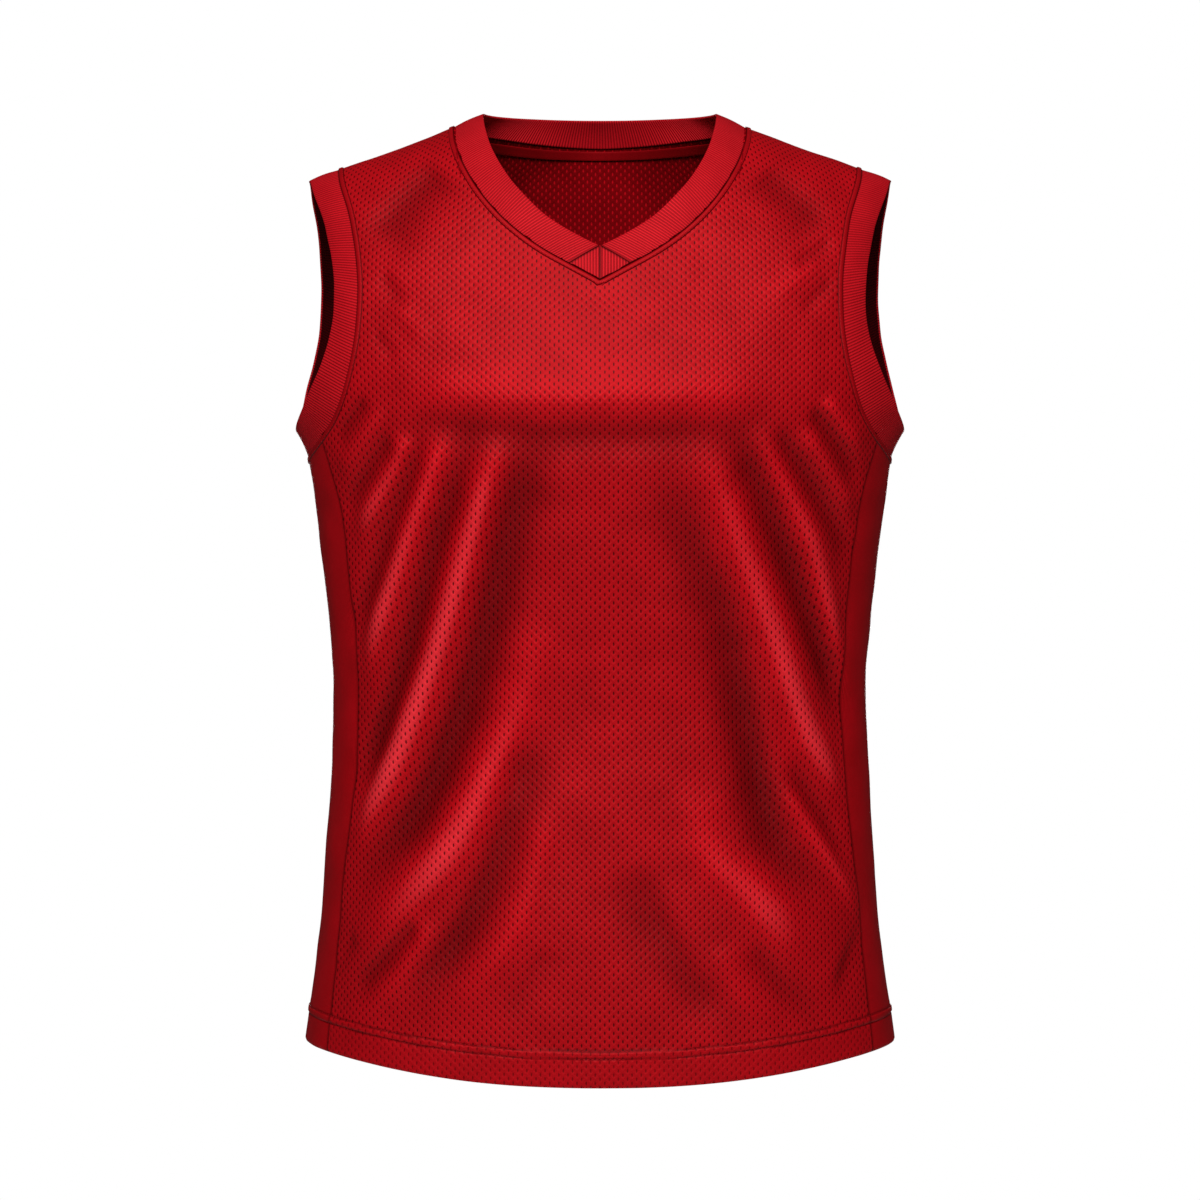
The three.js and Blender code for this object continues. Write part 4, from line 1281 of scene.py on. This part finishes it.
# %% Lines beside a seam
# Its open_cloth column is 1 on open cloth and 0 where the ridge's edges get the painted groove shade.
RIDGE_PROFILE = table(
    "out rise open_cloth",
    (-0.2, -0.5, 0),
    (0.3, 0.35, 0),
    (1.1, 0.95, 1),
    (3.1, 0.95, 1),
    (3.9, 0.5, 0.1),
    (4.6, -0.5, 0),
)
RIDGE_WALL = 0.5
STITCH_OUT = 3.4


def beside(turn, level, away, distance):
    """Places at a distance from a seam, on the side that a guide points to."""
    fall = fall_at(turn, level)
    base = fall_point(turn, fall)
    along = unit(np.gradient(base, axis=0))
    normal = form_normal(turn, fall)
    out = unit(np.cross(normal, along))
    out *= np.where(np.sum(out * away, -1, keepdims=True) < 0, -1, 1)
    across, down = tangents(turn, fall)
    aa, ad, dd = np.sum(across**2, -1), np.sum(across * down, -1), np.sum(down**2, -1)
    oa, od = np.sum(out * across, -1), np.sum(out * down, -1)
    spread = aa * dd - ad * ad
    new_turn = turn + distance * (oa * dd - od * ad) / spread
    new_fall = np.maximum(fall + distance * (od * aa - oa * ad) / spread, 0)
    return new_turn, fall_point(new_turn, new_fall)[..., 2]


def ridge(name, turn, level, away):
    lines, normals = [], []
    for row in RIDGE_PROFILE:
        points, normal = cloth_point(*beside(turn, level, away, row["out"]))
        lines.append(points + normal * row["rise"])
        normals.append(normal)
    points = np.stack(lines)
    points[:, -1] = points[:, 0]
    weave = strip_weave(points[2], [row["out"] for row in RIDGE_PROFILE])
    points, weave = oriented(points, weave, normals[0][0])
    shades = np.array([[row["open_cloth"]] for row in RIDGE_PROFILE])
    fields = {"open_cloth": np.broadcast_to(shades, points.shape[:2])}
    return cloth_piece(name, points, weave, SEAM_CLOTH, RIDGE_WALL, True, 0, fields)


# %% Neck ridge and armhole ridges
def neck_path():
    """The whole neck seam, from the centre front round by the wearer's right to the start."""
    front_columns = np.linspace(0, NECK_STEPS, 91)
    back_columns = np.linspace(NECK_STEPS, 0, 61)[1:]
    front_turn, front_level = neck_seam_place(front_columns, "front")
    back_turn, back_level = neck_seam_place(back_columns, "back")
    right = np.concatenate([180 - front_turn, 180 + back_turn])
    left = np.concatenate([front_turn, -back_turn])
    level = np.concatenate([front_level, back_level])
    turn = np.concatenate([right, left[-2::-1]])
    return turn, np.concatenate([level, level[-2::-1]])


def armhole_path(is_left):
    turn, level = armhole_place(ARMHOLE_ROUND, "seam")
    return side_turn(turn, is_left), level


NECK_CENTRE = np.array([0, 0, -20])
ARMHOLE_CENTRE_LEVEL = -120
neck_turn, neck_level = neck_path()
neck_away = fall_point(neck_turn, fall_at(neck_turn, neck_level)) - NECK_CENTRE
neck_ridge = ridge("neck_raised_seam", neck_turn, neck_level, neck_away)

armhole_ridges, armhole_aways = [], []
for is_left, side in ((True, "left"), (False, "right")):
    turn, level = armhole_path(is_left)
    base = fall_point(turn, fall_at(turn, level))
    outermost = base[:, 0].max() if is_left else base[:, 0].min()
    away = base - np.array([outermost, 0, ARMHOLE_CENTRE_LEVEL])
    armhole_aways.append(away)
    armhole_ridges.append(ridge(f"armhole_raised_seam_{side}", turn, level, away))

# %% [markdown]
# ## Stitches
# One stitch is a small squashed sphere primitive, modelled once. Copies of its mesh are laid end to
# end along each seam, each turned to the cloth there, and joined into one mesh for each line of
# sewing.

# %% One stitch, and a line of them
STITCH_LENGTH = 2.5
STITCH_PITCH = 3.1
THREAD_WIDTH = 0.5
STITCH_LIFT = 0.75  # above the panel, on a raised seam
HEM_STITCH_DEPTH = 0.1

bpy.ops.object.select_all(action="DESELECT")
bpy.ops.mesh.primitive_uv_sphere_add(segments=6, ring_count=4, radius=0.5)
pattern = bpy.context.object
bpy.ops.transform.rotate(value=math.radians(90), orient_axis="Y", center_override=(0, 0, 0))
bpy.ops.object.transform_apply(location=True, rotation=True, scale=True)
STITCH_SHAPE = np.array([v.co[:] for v in pattern.data.vertices])
STITCH_SHAPE = STITCH_SHAPE * (STITCH_LENGTH, THREAD_WIDTH, THREAD_WIDTH)
STITCH_FACES = [tuple(f.vertices) for f in pattern.data.polygons]
bpy.data.objects.remove(pattern)


def at_lengths(spots, length, values):
    """A line's points or normals at given lengths along it."""
    return np.stack([np.interp(spots, length, values[:, k]) for k in range(3)], -1)


def stitches(name, lines):
    """lines: pairs of points on the cloth and its normals, in mm."""
    corners, faces = [], []
    for points, normal in lines:
        length = run_lengths(points, 0)
        spots = np.arange(STITCH_PITCH / 2, length[-1], STITCH_PITCH)
        up = unit(at_lengths(spots, length, normal))
        along = unit(at_lengths(spots + 1, length, points) - at_lengths(spots - 1, length, points))
        side = unit(np.cross(up, along))
        for spot, x, y, z in zip(at_lengths(spots, length, points), along, side, up):
            first = len(corners) * len(STITCH_SHAPE)
            corners.append(spot + STITCH_SHAPE @ np.stack([x, y, z]))
            faces += [tuple(i + first for i in face) for face in STITCH_FACES]
    mesh = bpy.data.meshes.new(name)
    mesh.from_pydata((np.concatenate(corners) * MM).tolist(), [], faces)
    mesh.materials.append(THREAD)
    thread = bpy.data.objects.new(name, mesh)
    bpy.context.collection.objects.link(thread)
    mesh.shade_smooth()
    print(name, len(corners), "stitches")
    return thread


# %% Sewing the neck, the armholes and the hem
def stitched_beside(turn, level, away):
    points, normal = cloth_point(*beside(turn, level, away, STITCH_OUT))
    return points + normal * STITCH_LIFT, normal


neck_thread = stitches("topstitching_neck", [stitched_beside(neck_turn, neck_level, neck_away)])
armhole_threads = []
for is_left, side, away in zip((True, False), ("left", "right"), armhole_aways):
    line = stitched_beside(*armhole_path(is_left), away)
    armhole_threads.append(stitches(f"topstitching_armhole_{side}", [line]))

HEM_ROUND = np.linspace(0, 360, 721)
hem_lines = []
for from_edge in (HEM_DEPTH - HEM_RIDGE, HEM_DEPTH):
    points, normal = cloth_point(HEM_ROUND, hem_level(HEM_ROUND) + from_edge)
    hem_lines.append((points - normal * HEM_STITCH_DEPTH, normal))
hem_thread = stitches("topstitching_hem", hem_lines)

# %% [markdown]
# ## What stands for what
# Each piece rides on the one body and takes the place of its imported solid, which is hidden. Its
# row also lists a finish and, for a sheet of cloth, the size it was cut to.

# %% Attaching the pieces to the body
THREADS = (neck_thread, *armhole_threads, hem_thread)
PANEL_CUT = ((0.46, 0.74), 0.27)  # width and length, then the area inside the outline
SIDE_CUT = ((0.125, 0.47), 0.053)
COLLAR_CUT = ((0.56, 0.024), 0.0134)
INSERT_CUT = ((0.025, 0.025), 0.0003)
ARMHOLE_CUT = ((0.56, 0.022), 0.0122)
PIECES = [
    (front, "front_panel", "mesh_cloth", PANEL_CUT),
    (back, "back_panel", "mesh_cloth", PANEL_CUT),
    (side_left, "side_panel_left", "plain_cloth", SIDE_CUT),
    (side_right, "side_panel_right", "plain_cloth", SIDE_CUT),
    (collar, "collar", "rib_cloth", COLLAR_CUT),
    (insert_left, "collar_insert_left", "rib_cloth", INSERT_CUT),
    (insert_right, "collar_insert_right", "rib_cloth", INSERT_CUT),
    (armhole_left, "armhole_rib_left", "rib_cloth", ARMHOLE_CUT),
    (armhole_right, "armhole_rib_right", "rib_cloth", ARMHOLE_CUT),
    (tape, "back_neck_tape", "rib_cloth", None),
]
ON_PANELS = [(strip, "mesh_cloth") for strip in (neck_ridge, *armhole_ridges)]
ON_PANELS += [(thread, "plain_cloth") for thread in THREADS]
for piece, node, slot, _ in PIECES:
    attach(piece, "root")
    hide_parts(node)
for piece, slot in ON_PANELS:
    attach(piece, "root")
